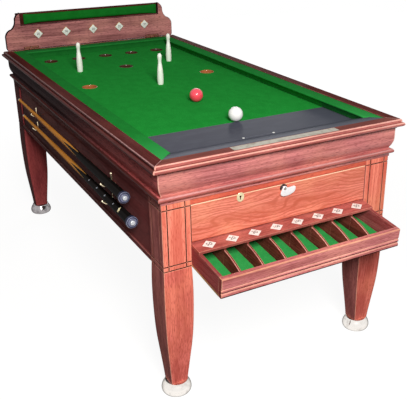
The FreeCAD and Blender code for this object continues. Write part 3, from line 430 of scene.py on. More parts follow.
@dataclass(frozen=True)
class Plating(Finish):
    """Cast or turned metal, plated or lacquered, with fine polishing scratches and tarnish."""

    body: str = "#e9e4dc"
    tarnish: str = "#a79b8c"
    rough: float = 0.22
    age: float = 0.35
    rim: float = 1.0         # brightness where the metal turns away from the eye

    def paint(self, brush: Brush) -> None:
        """Bright metal, cloudy where fingers and floor polish have dulled it.

        Args:
            brush: adds the material's nodes.
        """
        # cloudy patches 20 mm across; scratches drawn at 1.5 mm, coarser than the real 0.1 mm
        cloud = brush.between(brush.noise((55.0, 55.0, 55.0), 2.0), 0.45, 0.75)
        scratch = brush.noise((700.0, 700.0, 90.0), 2.0)
        rough = brush.between(brush.sum("ADD", cloud, scratch), 0.3, 1.6, self.rough, self.rough + 0.18)
        brush.surface({"Base Color": brush.over(self.body, cloud, self.age, self.tarnish), "Roughness": rough,
                       "Metallic": 1.0, "Specular Tint": (self.rim, self.rim, self.rim, 1.0)})
        brush.bump(scratch, 0.06, 0.0002)


@dataclass(frozen=True)
class Moulded(Finish):
    """Hard, close material polished all over: phenolic resin, ivorine, bone, painted metal or rubber."""

    body: str = "#f4f2ec"
    stain: str = "#d9d2c0"
    rough: float = 0.2
    spread: float = 60.0     # stains per metre
    coat: float = 0.0
    shine: float = 0.5

    def paint(self, brush: Brush) -> None:
        """Even colour with faint handling stains."""
        stain = brush.between(brush.noise((self.spread,) * 3, 3.0), 0.45, 0.8, 0.0, 0.5)
        brush.surface({"Base Color": brush.mixed(stain, self.body, self.stain), "Coat Weight": self.coat,
                       "Roughness": brush.between(stain, 0.0, 0.5, self.rough, self.rough + 0.08),
                       "Specular IOR Level": self.shine, "Coat Roughness": 0.05})


@dataclass(frozen=True)
class SplicedCue(Finish):
    """Ash shaft hand-spliced into an ebony butt: four black points, a light veneer round each."""

    axis_x: float = 0.0
    axis_z: float = 0.0
    point_y: float = 0.0     # tips of the black points
    root_y: float = 0.0      # where the butt is black all round

    def paint(self, brush: Brush) -> None:
        """Golden ash with pore flecks; black where the splice's points reach.

        Args:
            brush: adds the material's nodes.
        """
        side = brush.sum("SUBTRACT", brush.along("X"), self.axis_x)
        rise = brush.sum("SUBTRACT", brush.along("Z"), self.axis_z)
        turn = brush.sum("MULTIPLY", brush.sum("ARCTAN2", rise, side), 2 / math.pi)
        fold = brush.sum("MULTIPLY", brush.sum("PINGPONG", brush.sum("ADD", turn, 0.5), 0.5), 2.0)
        reach = node(brush.tree, "ShaderNodeMapRange", {0: brush.along("Y"), 1: self.root_y,
                                                        2: self.point_y, 3: 1.05, 4: -0.04}).outputs[0]
        lead = brush.sum("SUBTRACT", reach, fold)
        fleck = brush.between(brush.noise((900.0, 14.0, 900.0), 2.0), 0.45, 0.7)
        ring = brush.between(brush.noise((160.0, 2.0, 160.0), 2.0, 0.4), 0.35, 0.65)
        ash = brush.over("#f0a246", ring, 0.6, "#cc7c2c")
        ash = brush.over(ash, fleck, 0.4, "#8a4f1f")
        ash = brush.over(ash, brush.between(lead, -0.09, -0.06), 0.6, "#f0bd70")
        ebony = brush.over("#141211", ring, 0.5, "#241d1b")
        brush.surface({"Base Color": brush.mixed(brush.between(lead, 0.0, 0.03), ash, ebony),
                       "Roughness": brush.between(fleck, 0.0, 1.0, 0.26, 0.36), "Specular IOR Level": 0.0,
                       "Coat Weight": 0.06, "Coat Roughness": 0.1})


# boards under shellac; each piece's fibres run along its length
RAIL_X = FrenchPolish("mahogany cap rail polish, fibres across", "#5e221c", "#84433a", "#9c5444",
                      shellac=0.12)
# painted shade: the side rails take a darker copy of the front rail's polish
RAIL_Y = FrenchPolish("mahogany cap rail polish, fibres along", "#461d1a", "#6a302c", "#763c34",
                      Grain.Y, shellac=0.03)
FRIEZE_X = FrenchPolish("mahogany frieze polish, fibres across", "#883c3c", "#da8380", "#ea9a86",
                        shellac=0.5)
# painted shade: the side friezes take a much darker copy of the front frieze's polish; near adds painted
# light at the player's end
FRIEZE_Y = FrenchPolish("mahogany frieze polish, fibres along", "#3e282a", "#665255", "#705656",
                        Grain.Y, shellac=0.02, near="#ea7571")
LEG_Z = FrenchPolish("mahogany leg polish, fibres upright", "#ac4438", "#ec7c6e", "#fc9270", Grain.Z)
# painted shade: a darker copy of the leg polish for faces turned to the left, away from the lamp
LEG_SIDE = FrenchPolish("leg polish on faces turned left, darkened as painted shade", "#7a3c3c", "#cb7872", "#d88474",
                        Grain.Z, shellac=0.03)
# painted shade: darker copies of the leg polish for the back left leg, which stands in the table's shadow
LEG_RED = FrenchPolish("back left leg polish, darkened as painted shade", "#702c2e", "#ba5254", "#c45c56", Grain.Z,
                       shellac=0.03)
LEG_DARK = FrenchPolish("back left leg polish, darker still as painted shade", "#481e20", "#783839", "#84443e", Grain.Z,
                        shellac=0.03)
BLOCK_Z = FrenchPolish("mahogany leg block polish", "#c85240", "#ff947c", "#ffa87c", Grain.Z)
FLAP_X = FrenchPolish("flame mahogany flap polish", "#c66048", "#f28e78", "#fca47e", Grain.X,
                      Figure.FLAME, shellac=0.3)
TOP_X = FrenchPolish("mahogany flap rail polish", "#a03c32", "#e2664e", "#f47c5c", Grain.X, shellac=0.2)
# painted shade: the side panels take a darker copy of the polish; near adds painted light at the player's end
SIDE_Y = FrenchPolish("mahogany side panel polish", "#543434", "#865454", "#93645c", Grain.Y,
                      shellac=0.02, near="#934947")
BOARD_X = FrenchPolish("mahogany headboard polish", "#451c1e", "#d48886", "#e89e90")
TRAY_X = FrenchPolish("mahogany tray polish, fibres across", "#8a3a34", "#e48a8a", "#f4a08c",
                      shellac=0.3)
LABEL_X = FrenchPolish("mahogany label board polish", "#7e3630", "#ce7066", "#e08876", shellac=0.2)
# painted shade: a darker copy of the tray polish for the left end's outer face
TRAY_LEFT = FrenchPolish("tray polish on the left end, darkened as painted shade", "#6a2622", "#a55450", "#b5625a", Grain.Y)
# painted highlight: a pale polish on the crowns of the tray's mouldings
CROWN_TRAY = FrenchPolish("tray moulding crown, painted highlight", "#b0645a", "#f2aa98", "#ffbca6", rubbed=0.3, gloss=0.2,
                          shellac=0.8)
# the tray's eased edges: rubbed wear and a painted highlight
ARRIS_TRAY = FrenchPolish("tray edge, rubbed and painted highlight", "#b86a52", "#f0a482", "#ffba96", rubbed=0.4, gloss=0.2,
                          shellac=0.6)
TRAY_Y = FrenchPolish("mahogany tray polish, fibres along", "#7e322e", "#b56160", "#c4726a", Grain.Y)
LANE_Y = FrenchPolish("stained mahogany lane board", "#4c1c16", "#8c443a", "#ac6450", Grain.Y)
DARK_X = FrenchPolish("stained board behind the cut-out", "#3a1815", "#56261f", "#65302a")
# eased arrises: rubbed wear and a painted highlight, lighter than the faces
ARRIS_X = FrenchPolish("mahogany arris, rubbed and painted highlight, fibres across", "#a9554a", "#cf8274", "#dc9380",
                       rubbed=0.5, gloss=0.2, shellac=0.5)
BEAD_X = FrenchPolish("glossy mahogany bead, fibres across", "#843630", "#b85c53", "#ca7065", gloss=0.2,
                      shellac=1.0)
# painted shade: the side beads take a darker copy of the front bead polish
BEAD_Y = FrenchPolish("glossy mahogany bead, fibres along", "#4a2220", "#6e3a37", "#7a443f", Grain.Y,
                      gloss=0.2, shellac=0.12)
# eased arrises of the sides: rubbed wear and a painted highlight, in a darker copy as painted shade
ARRIS_Y = FrenchPolish("rubbed mahogany arris, fibres along", "#6c352f", "#8f524c", "#9a5e55", Grain.Y,
                       rubbed=0.3, gloss=0.2, shellac=0.2)
# eased arrises of the legs: rubbed wear and a painted highlight
ARRIS_Z = FrenchPolish("rubbed mahogany arris, fibres upright", "#b8584a", "#e68a74", "#f39c80",
                       Grain.Z, rubbed=0.6, gloss=0.2, shellac=0.4)
END_GRAIN = FrenchPolish("dark end grain", "#1d0f12", "#2f191c", "#3a2022", Grain.Z, shellac=0.0)
# painted highlight: pale polish on the upward-facing crowns of the beads
CROWN_X = FrenchPolish("bead crown, painted highlight, fibres across", "#b06c62", "#e8a699", "#f6bcae",
                       rubbed=0.35, gloss=0.2, shellac=1.0)
# painted highlight: a softer pale polish on the frieze bead's crown
CROWN_LOW = FrenchPolish("frieze bead crown, painted highlight", "#a06864", "#cf8f8b", "#dc9e98", gloss=0.3,
                         shellac=0.5)
# painted highlight on the side beads' crowns, in a darker copy as painted shade; near brightens the highlight
# at the player's end
CROWN_Y = FrenchPolish("bead crown, painted highlight, fibres along", "#6a4340", "#8a5652", "#946058",
                       Grain.Y, gloss=0.2, shellac=0.3, near="#c49490")
# painted highlight: the flap's upward-facing top chamfer in pale wood
FLAP_EDGE_HIGHLIGHT = FrenchPolish("flap top edge, painted highlight", "#f2b48c", "#ffdcb4", "#ffe8c8", gloss=0.25,
                         shellac=0.5)
# the lane boards' eased tops: rubbed wear and a painted highlight
LANE_EDGE = FrenchPolish("lane board top, rubbed and painted highlight", "#a85c56", "#dc9a92", "#eeb4a8", Grain.Y,
                         rubbed=0.5, gloss=0.2, shellac=0.4)
# real wax in the cut lines; also painted shade under mouldings, in gaps, round hinge leaves and in the
# keyhole
WAX_AND_SHADE = GrooveWax("old wax in cut lines, also painted shade")
DEAL_X = BareDeal("bare deal, fibres across", Grain.X)
DEAL_Y = BareDeal("bare deal, fibres along", Grain.Y)
BED_BAIZE = Baize("green baize on the bed", "#25a33d", "#18882e")
# near adds painted light at the player's end
CUSHION_BAIZE = Baize("green baize on the left cushion", "#219036", "#18772b", "#38a450")
# painted shade: the right and far cushions take darker copies of the cushion baize; the right one also
# lightens at the player's end as painted light
CUSHION_RIGHT_SHADED = Baize("green baize on the right cushion", "#2a943f", "#1b7c30", "#38a04c")
CUSHION_FAR_SHADED = Baize("green baize on the far cushion", "#288438", "#1b6d2b")
TRAY_BAIZE = Baize("green baize in the tray", "#3ca552", "#288c3e")
PAD_BAIZE = Baize("dark green baize on the pad", "#1b7a28", "#115c1c")
MAT_CLOTH = BaulkCloth("dark coated baulk cloth")
# painted light: a lighter copy of the baulk cloth for the ramp, which tilts towards the lamp
RAMP_CLOTH = BaulkCloth("dark coated ramp cloth", "#5e5f6c", 0.3)
FOOT_METAL = Plating("nickel-plated foot cup", "#f4efe9", "#a39a92", 0.12, 0.35, rim=0.15)
LEVER_METAL = Plating("nickel-plated catch", "#ffffff", "#e8e6e4", 0.3, 0.2)
# painted shade: a darker copy of the foot plating for the back feet, under the table
FOOT_SHADED = Plating("plated back foot, darkened as painted shade", "#aaa5a6", "#5f5a5e", 0.14, 0.6, rim=0.1)
STRIP_METAL = Plating("dull alloy strip", "#a9a396", "#7f776b", 0.5, 0.5)
HOOK_BRASS = Plating("lacquered brass hook", "#fff0cc", "#d8bd84", 0.3)
# painted shade: the part of each hook behind the cue is darkened
HOOK_SHANK_SHADE = Plating("hook shank behind the cue, painted shade", "#4a3a30", "#2c221e", 0.5)
PLATE_BRASS = Plating("pale brass key plate", "#f2e7bd", "#c9b98a", 0.25, 0.25)
RIM_BRASS = Plating("darkened brass rim", "#b08a45", "#6a4a20", 0.35, 0.5)
HINGE_BRASS = Plating("aged brass hinge", "#8a5a48", "#5b382d", 0.55, 0.4)
LOCK_STEEL = Plating("oiled steel lock", "#8f8d8a", "#5b5550", 0.35, 0.5)
# painted shadow: a dark washer set off behind the catch
CATCH_SHADOW_STEEL = Plating("dark washer as the catch's painted shadow", "#3a3436", "#1c1819", 0.4, 0.5)
SCREW_STEEL = Plating("slotted steel screw", "#a9a39b", "#5f5850", 0.3, 0.4)
IVORINE = Moulded("ivorine score plate", "#f3f1ea", "#d6cfbd", 0.3, 90.0)
INK = Moulded("engraved black numerals", "#6a655f", "#45403b", 0.5, 300.0)
BONE = Moulded("polished bone skittle", "#fffef2", "#fbf6de", 0.4, 60.0, 1.0, 1.0)
FERRULE = Moulded("horn ferrule gone yellow", "#cdb087", "#b3926a", 0.4, 60.0)
RED_RESIN = Moulded("red phenolic ball", "#ff4a5c", "#f43c4c", 0.3, 25.0, 0.3)
WHITE_RESIN = Moulded("white phenolic ball", "#f7f5f1", "#e9e5db", 0.12, 25.0, 0.4)
RING_DARK = Moulded("stained hole ring", "#4a2a1a", "#2a1710", 0.3, 70.0, 0.5, 0.0)
RING_WORN = Moulded("stained hole ring worn to bare wood", "#b5683a", "#7a3d1e", 0.3, 70.0, 0.5, 0.0)
BLACK_HORN = Moulded("black horn cue cap", "#24263a", "#141624", 0.4, 120.0, 0.04, 0.03)
PEARL = Moulded("pearl cue button", "#cfd2d6", "#9aa1a8", 0.18, 250.0, 0.5)
FILLER = Moulded("old putty in a mitre", "#b98a84", "#8d605a", 0.5, 200.0)
CHALK = Moulded("worn chalk line", "#6c6d76", "#4d4e59", 0.8, 300.0, 0.0, 0.0)
GREY_PEARL = Moulded("grey shell inlay", "#8d919b", "#6b6f7a", 0.3, 200.0, 0.3)
BADGE = Moulded("ivory badge", "#f5e7b0", "#d9c27c", 0.25, 150.0, 0.4)
# painted highlight: a lighter band on the cap's rounded rim
RIM_HIGHLIGHT_HORN = Moulded("rim of a cue cap, painted highlight", "#777a92", "#44475a", 0.2, 120.0, 0.5, 0.3)
LEATHER = Moulded("chalked leather cue tip", "#5f7d8f", "#3d4a52", 0.85, 300.0)


# ---------------------------------------------------------------- mesh making

WELD = 1e-5              # corners of a CAD mesh closer than this are one
UNDER = 0.0002           # step under a face to a point inside its solid
SQUARE = 0.02            # how far the normal of a mitred end may stray from 45 degrees
ROUND = 56               # sides of a round hole or ring
LIP = 0.0005             # eased edge of a waxed line
FLAT_JOIN = math.radians(0.6)    # faces that meet at less are one
ARRIS_ANGLE = math.radians(32)   # edges that turn by more are arrises


def linked(name: str, data: bpy.types.ID) -> Piece:
    """New object in the scene.

    Args:
        name: its name.
        data: its mesh, lamp, camera or text.

    Returns:
        The object.
    """
    made = bpy.data.objects.new(name, data)
    bpy.context.scene.collection.objects.link(made)
    return made


def taken(piece: Piece) -> Mesh:
    """Mesh of a helper object, which is removed.

    Args:
        piece: the helper.

    Returns:
        Its mesh.
    """
    mesh = piece.data
    bpy.data.objects.remove(piece)
    return mesh


def settled(piece: Piece) -> Mesh:
    """New mesh with what the piece's modifiers do."""
    view = bpy.context.evaluated_depsgraph_get()
    return bpy.data.meshes.new_from_object(piece.evaluated_get(view))


def place_on(point: Point, turn: Point = LEVEL) -> Matrix:
    """Matrix for a position and Euler angles."""
    return Matrix.Translation(Vector(point)) @ Euler(turn).to_matrix().to_4x4()


def oval(steps: int, wide: float, high: float = 0.0, x: float = 0.0, y: float = 0.0) -> list[Pair]:
    """Points of an oval about (x, y), or of a circle where one radius is given."""
    turns = (2 * math.pi * i / steps for i in range(steps))
    return [(x + wide * math.cos(a), y + (high or wide) * math.sin(a)) for a in turns]


def rectangle(left: float, near: float, right: float, far: float) -> list[Pair]:
    """Corners of a rectangle in plan."""
    return [(left, near), (right, near), (right, far), (left, far)]


def shown(name: str, mesh: Mesh, finishes: Sequence[Finish], sharp: float = 50.0) -> Piece:
    """Object for a finished mesh, smooth but for edges sharper than an angle.

    Args:
        name: the piece's name.
        mesh: mesh with its place in it.
        finishes: one for each material index.
        sharp: angle in degrees.

    Returns:
        The linked object.
    """
    for index, finish in enumerate(finishes):
        if index < len(mesh.materials):
            mesh.materials[index] = finish.material()
        else:
            mesh.materials.append(finish.material())
    mesh.shade_smooth()
    mesh.set_sharp_from_angle(angle=math.radians(sharp))
    return linked(name, mesh)


def plain_mesh(shape: Shape, name: str) -> Mesh:
    """Mesh from a bmesh, which is freed.

    Args:
        shape: the bmesh.
        name: the mesh's name.

    Returns:
        The mesh.
    """
    mesh = bpy.data.meshes.new(name)
    shape.to_mesh(mesh)
    shape.free()
    return mesh


def mesh_from(shape: Shape, name: str) -> Mesh:
    """As plain_mesh, with the faces turned outward."""
    bmesh.ops.recalc_face_normals(shape, faces=shape.faces)
    return plain_mesh(shape, name)


def highlight_mitres(shape: Shape, width: float, finish: int) -> None:
    """Give the outer ends of mitred lengths a narrow pale strip, a painted highlight, with a finish of its
    own.

    Args:
        shape: the mitred lengths, running along X.
        width: width of the strip in metres.
        finish: index of its finish.
    """
    joints = [(f.calc_center_median(), f.normal.copy()) for f in shape.faces
              if abs(f.normal.z) < SQUARE and abs(abs(f.normal.x) - abs(f.normal.y)) < SQUARE]
    for point, out in joints:
        start = point - out * width * math.sqrt(0.5)
        bmesh.ops.bisect_plane(shape, geom=[*shape.verts, *shape.edges, *shape.faces], plane_co=start,
                               plane_no=out)
        for face in shape.faces:
            centre = face.calc_center_median()
            if 0 < (centre - start).dot(out) < width and face.normal.y * centre.y > 0.1:
                face.material_index = finish


def softened(source: str, name: str, radius: float, finishes: Sequence[Finish],
             keep: Callable[[Vector], bool] | None = None, marks: Callable[[Face], Mark] | None = None,
             mitre: float = 0.0) -> Piece:
    """Merged copy of a CAD node with its arrises eased.

    Args:
        source: the CAD node.
        name: the new piece's name.
        radius: width of the eased arris in metres.
        finishes: for the faces, for the arrises, and for any that marks() names.
        keep: says from a point just under a face whether that face stays.
        marks: material index of a face before the arrises are cut.
        mitre: width of the pale strip along a mitred corner, a painted highlight in the last finish.

    Returns:
        The new piece.
    """
    shape = bmesh.new()
    shape.from_mesh(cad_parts[source].data)
    for face in shape.faces:
        face.material_index = Mark.FACE
    if keep is not None:
        shape.normal_update()
        gone = [f for f in shape.faces if not keep(f.calc_center_median() - f.normal * UNDER)]
        bmesh.ops.delete(shape, geom=gone, context="FACES")
    bmesh.ops.remove_doubles(shape, verts=shape.verts, dist=WELD)
    bmesh.ops.dissolve_limit(shape, angle_limit=FLAT_JOIN, verts=shape.verts, edges=shape.edges)
    shape.normal_update()
    if marks is not None:
        for face in shape.faces:
            face.material_index = marks(face)
    if mitre:
        highlight_mitres(shape, mitre, len(finishes) - 1)
    for waxed, width in ((False, radius), (True, LIP)):
        sharp = [e for e in shape.edges if len(e.link_faces) == 2 and e.is_convex
                 and e.calc_face_angle(0.0) > ARRIS_ANGLE
                 and any(f.material_index == Mark.WAX_AND_SHADE for f in e.link_faces) == waxed]
        if sharp:
            bmesh.ops.bevel(shape, geom=sharp, offset=width, offset_type="OFFSET", segments=2,
                            profile=0.5, affect="EDGES", clamp_overlap=False,
                            material=min(Mark.ARRIS, len(finishes) - 1))
    piece = shown(name, plain_mesh(shape, name), finishes)
    piece.modifiers.new("broad faces stay flat", "WEIGHTED_NORMAL").keep_sharp = True
    return piece


def skinned(rings: Sequence[Sequence[Point]], hoop: bool = False, shape: Shape | None = None) -> Shape:
    """Solid through rings of points.

    Args:
        rings: the points of each ring; a ring of one point is a pole.
        hoop: whether the last ring runs on to the first, in place of two closed ends.
        shape: shape that the solid is added to, where it isn't a new one.

    Returns:
        The shape.
    """
    shape = shape or bmesh.new()
    loops = [[shape.verts.new(point) for point in ring] for ring in rings]
    for near, far in zip(loops, loops[1:] + loops[:1] if hoop else loops[1:]):
        steps = max(len(near), len(far))
        for i, j in ((i, (i + 1) % steps) for i in range(steps)):
            corners = (near[i % len(near)], near[j % len(near)], far[j % len(far)], far[i % len(far)])
            if len(set(corners)) > 2:
                shape.faces.new(list(dict.fromkeys(corners)))
    for ring in () if hoop else (loops[0], loops[-1]):
        if len(ring) > 1:
            shape.faces.new(ring)
    return shape


def lathe(profile: Sequence[Pair], steps: int = 48, hoop: bool = False) -> Shape:
    """Turned shape about Z.

    Args:
        profile: (radius, height) from one end to the other; a radius of 0 closes the end.
        steps: faces round.
        hoop: whether the profile is a closed loop.

    Returns:
        The shape.
    """
    return skinned([[(x, y, height) for x, y in oval(steps if radius else 1, radius)]
                    for radius, height in profile], hoop)


def turned(name: str, profile: Sequence[Pair], place: Matrix, finishes: Sequence[Finish],
           steps: int = 48, bands: Callable[[float], int] | None = None) -> Piece:
    """Turned piece put in its place.

    Args:
        name: the piece's name.
        profile: (radius, height) in metres.
        place: from the lathe's axis Z to the frame.
        finishes: one for each material index.
        steps: faces round.
        bands: material index of a face from its height on the lathe.

    Returns:
        The new piece.
    """
    shape = lathe(profile, steps)
    if bands is not None:
        for face in shape.faces:
            face.material_index = bands(face.calc_center_median().z)
    mesh = mesh_from(shape, name)
    mesh.transform(place)
    return shown(name, mesh, finishes, 40.0)


def swept(name: str, profile: Sequence[Pair], start: Ends, end: Ends,
          steps: int, finish: Finish) -> Piece:
    """Closed bar of one section whose ends are cut on the slant.

    Args:
        name: the piece's name.
        profile: closed section as (inset, height).
        start: place of a section point at one end.
        end: place of it at the other.
        steps: lengths along the bar.
        finish: its finish.

    Returns:
        The new piece.
    """
    rings = [[Vector(start(s, z)).lerp(Vector(end(s, z)), step / steps) for s, z in profile]
             for step in range(steps + 1)]
    return shown(name, mesh_from(skinned(rings), name), [finish], 60.0)


def slab(name: str, outer: Sequence[Pair], layer: Layer, finish: Finish,
         place: Matrix = Matrix.Identity(4), holes: Sequence[Point] = ()) -> Piece:
    """Thin flat piece with round holes and a rolled edge.

    Args:
        name: the piece's name.
        outer: outline in plan.
        layer: its underside, its top and how far the top edge is rolled over.
        finish: its finish.
        place: where it goes.
        holes: (x, y, radius) of each hole.

    Returns:
        The new piece.
    """
    low, high, edge = layer
    shape = bmesh.new()
    loops = [[shape.verts.new((x, y, high)) for x, y in line]
             for line in (outer, *(oval(ROUND, radius, radius, x, y) for x, y, radius in holes))]
    edges = [shape.edges.new((loop[i - 1], loop[i])) for loop in loops for i in range(len(loop))]
    bmesh.ops.triangle_fill(shape, use_beauty=True, use_dissolve=False, edges=edges, normal=(0, 0, 1))
    pulled = bmesh.ops.extrude_face_region(shape, geom=list(shape.faces))["geom"]
    for vert in (g for g in pulled if isinstance(g, bmesh.types.BMVert)):
        vert.co.z = low
    bmesh.ops.recalc_face_normals(shape, faces=shape.faces)
    rim = [e for e in shape.edges if all(abs(v.co.z - high) < 1e-7 for v in e.verts)
           and e.calc_face_angle(0.0) > 1.0]
    bmesh.ops.bevel(shape, geom=rim, offset=edge, offset_type="OFFSET", segments=2, profile=0.5,
                    affect="EDGES")
    mesh = mesh_from(shape, name)
    level = [face.index for face in mesh.polygons if abs(face.normal.z) > 0.999]
    mesh.transform(place)
    piece = shown(name, mesh, [finish])
    for index in level:
        mesh.polygons[index].use_smooth = False
    return piece


def joined(name: str, meshes: Sequence[Mesh], *finishes: Finish) -> Piece:
    """One piece out of several meshes that are in their places.

    Args:
        name: the piece's name.
        meshes: the meshes.
        finishes: one for each material index.

    Returns:
        The piece.
    """
    shape = bmesh.new()
    for mesh in meshes:
        shape.from_mesh(mesh)
    return shown(name, plain_mesh(shape, name), finishes)


def numeral(text: str, height: float, place: Matrix) -> Mesh:
    """Plain number as a mesh.

    Args:
        text: the number.
        height: of the figures, in metres.
        place: from the page (X right, Y up) to the frame.

    Returns:
        The mesh in its place.
    """
    line = bpy.data.curves.new(text, "FONT")
    line.body = text
    line.size = height
    line.extrude = 0.00008
    line.offset = height * 0.012
    line.align_x = line.align_y = "CENTER"
    line.resolution_u = 3
    holder = linked(text, line)
    shape = bmesh.new()
    shape.from_mesh(settled(holder))
    bpy.data.objects.remove(holder)
    bmesh.ops.remove_doubles(shape, verts=shape.verts, dist=1e-6)
    mesh = mesh_from(shape, text)
    mesh.transform(place)
    return mesh


def slotted_head() -> Mesh:
    """Round-headed screw of radius 1 with its driver slot, standing on the origin.

    Returns:
        The screw's mesh.
    """
    shape = lathe([(1.0, -0.3), (1.0, 0.02), (0.93, 0.16), (0.0, 0.17)], 24)
    for side in (-1, 1):
        turns = [side * math.pi / 2 + math.radians(step) for step in range(-78, 79, 12)]
        skinned([[(0.93 * math.cos(a), 0.93 * math.sin(a), 0.15) for a in turns],
                 [(0.62 * math.cos(a), 0.62 * math.sin(a) + side * 0.08, 0.44) for a in turns]], shape=shape)
    return mesh_from(shape, "slotted head")


class Repeat:
    """Geometry Nodes tree that stands one part at every point of a mesh of places."""

    def __init__(self) -> None:
        """Build the tree with its named inputs."""
        tree = bpy.data.node_groups.new("one part at every place", "GeometryNodeTree")
        for label, kind in (("Places", "Geometry"), ("Part", "Object"), ("Size", "Float"),
                            ("Turn", "Float"), ("Seed", "Int"), ("Finish", "Material")):
            tree.interface.new_socket(label, in_out="INPUT", socket_type="NodeSocket" + kind)
        tree.interface.new_socket("Pieces", in_out="OUTPUT", socket_type="NodeSocketGeometry")
        given = node(tree, "NodeGroupInput").outputs
        part = node(tree, "GeometryNodeObjectInfo", {"Object": given["Part"]})
        stance = node(tree, "GeometryNodeInputNamedAttribute", {"Name": "stance"},
                      data_type="FLOAT_VECTOR")
        stand = node(tree, "FunctionNodeEulerToRotation", {0: stance.outputs["Attribute"]})
        chance = node(tree, "FunctionNodeRandomValue", {2: 0.0, 3: given["Turn"], "Seed": given["Seed"]},
                      data_type="FLOAT")
        spin = node(tree, "ShaderNodeCombineXYZ", {"Z": chance.outputs[1]})
        spun = node(tree, "FunctionNodeEulerToRotation", {0: spin.outputs[0]})
        turn = node(tree, "FunctionNodeRotateRotation", {"Rotation": stand.outputs[0],
                                                         "Rotate By": spun.outputs[0]},
                    rotation_space="LOCAL")
        stood = node(tree, "GeometryNodeInstanceOnPoints",
                     {"Points": given["Places"], "Instance": part.outputs["Geometry"],
                      "Rotation": turn.outputs[0], "Scale": given["Size"]})
        solid = node(tree, "GeometryNodeRealizeInstances", {"Geometry": stood.outputs[0]})
        coated = node(tree, "GeometryNodeSetMaterial", {"Geometry": solid.outputs[0],
                                                        "Material": given["Finish"]})
        node(tree, "NodeGroupOutput", {"Pieces": coated.outputs[0]})
        self.tree = tree

    def make(self, name: str, part: Mesh, places: Places, finish: Finish, size: float = 1.0,
             turn: float = 0.0) -> Piece:
        """Stand a part at every place and keep the result as a plain mesh.

        Args:
            name: the piece's name.
            part: the part's mesh, standing on the origin with its axis up.
            places: position and Euler angles of each.
            finish: its finish.
            size: scale of the part.
            turn: most that each is turned about its own axis, at random.

        Returns:
            The new piece.
        """
        spots = bpy.data.meshes.new(name + " places")
        spots.from_pydata([spot for spot, _ in places], [], [])
        stance = spots.attributes.new("stance", "FLOAT_VECTOR", "POINT")
        stance.data.foreach_set("vector", [angle for _, turned_by in places for angle in turned_by])
        holder = linked(name + " places", spots)
        sample = linked(name + " part", part)
        modifier = holder.modifiers.new("repeat", "NODES")
        modifier.node_group = self.tree
        values = {"Part": sample, "Size": size, "Turn": turn, "Seed": 3, "Finish": finish.material()}
        for item in self.tree.interface.items_tree:
            if item.in_out == "INPUT" and item.name in values:
                modifier[item.identifier] = values[item.name]
        mesh = settled(holder)
        for made in (holder, sample):
            bpy.data.objects.remove(made)
        mesh.name = name
        return shown(name, mesh, [finish], 40.0)


@dataclass
class Assembly:
    """Base of the sub-assemblies: puts each piece on its body and hides the nodes it replaces."""

    repeat: Repeat           # stands one part at several places

    def fit(self, piece: Piece, body: str, slot: str, *stands_for: str) -> None:
        """Put a new piece on its body.

        Args:
            piece: the finished piece.
            body: the body that carries it.
            slot: the record's material slot; not used.
            stands_for: CAD nodes that it replaces.
        """
        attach(piece, body)
        if stands_for:
            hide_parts(*stands_for)
        log.info("%s on %s: %d faces", piece.name, body, len(piece.data.polygons))

    def dress(self, finish: Finish, *sources: str) -> None:
        """Give CAD nodes that stay their finish.

        Args:
            finish: the finish.
            sources: the nodes.
        """
        for source in sources:
            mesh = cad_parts[source].data
            if len(mesh.materials) == 0:
                mesh.materials.append(finish.material())
            for index in range(len(mesh.materials)):
                mesh.materials[index] = finish.material()
            log.info("%s keeps its shape", source)

    def ease(self, source: str, finishes: Sequence[Finish], radius: float, body: str = "table",
             slot: str = "mahogany", **how: object) -> None:
        """Replace a CAD node by its own shape with eased arrises."""
        self.fit(softened(source, source + "_made", radius, finishes, **how), body, slot, source)

    def stand(self, name: str, part: Mesh, places: Places, finish: Finish, body: str, slot: str,
              *stands_for: str) -> None:
        """Fit one piece made of a part at every place."""
        self.fit(self.repeat.make(name, part, places, finish), body, slot, *stands_for)

    def screws(self, name: str, places: Places, finish: Finish, radius: float, body: str,
               slot: str) -> None:
        """Fit slotted screws or pins, each stopped at a turn of its own."""
        made = self.repeat.make(name, slotted_head(), places, finish, radius, ANY_TURN)
        self.fit(made, body, slot)


# ---------------------------------------------------------------- sub-assemblies

def rise_of(face: Face) -> float:
    """Height that a face spans."""
    heights = [v.co.z for v in face.verts]
    return max(heights) - min(heights)


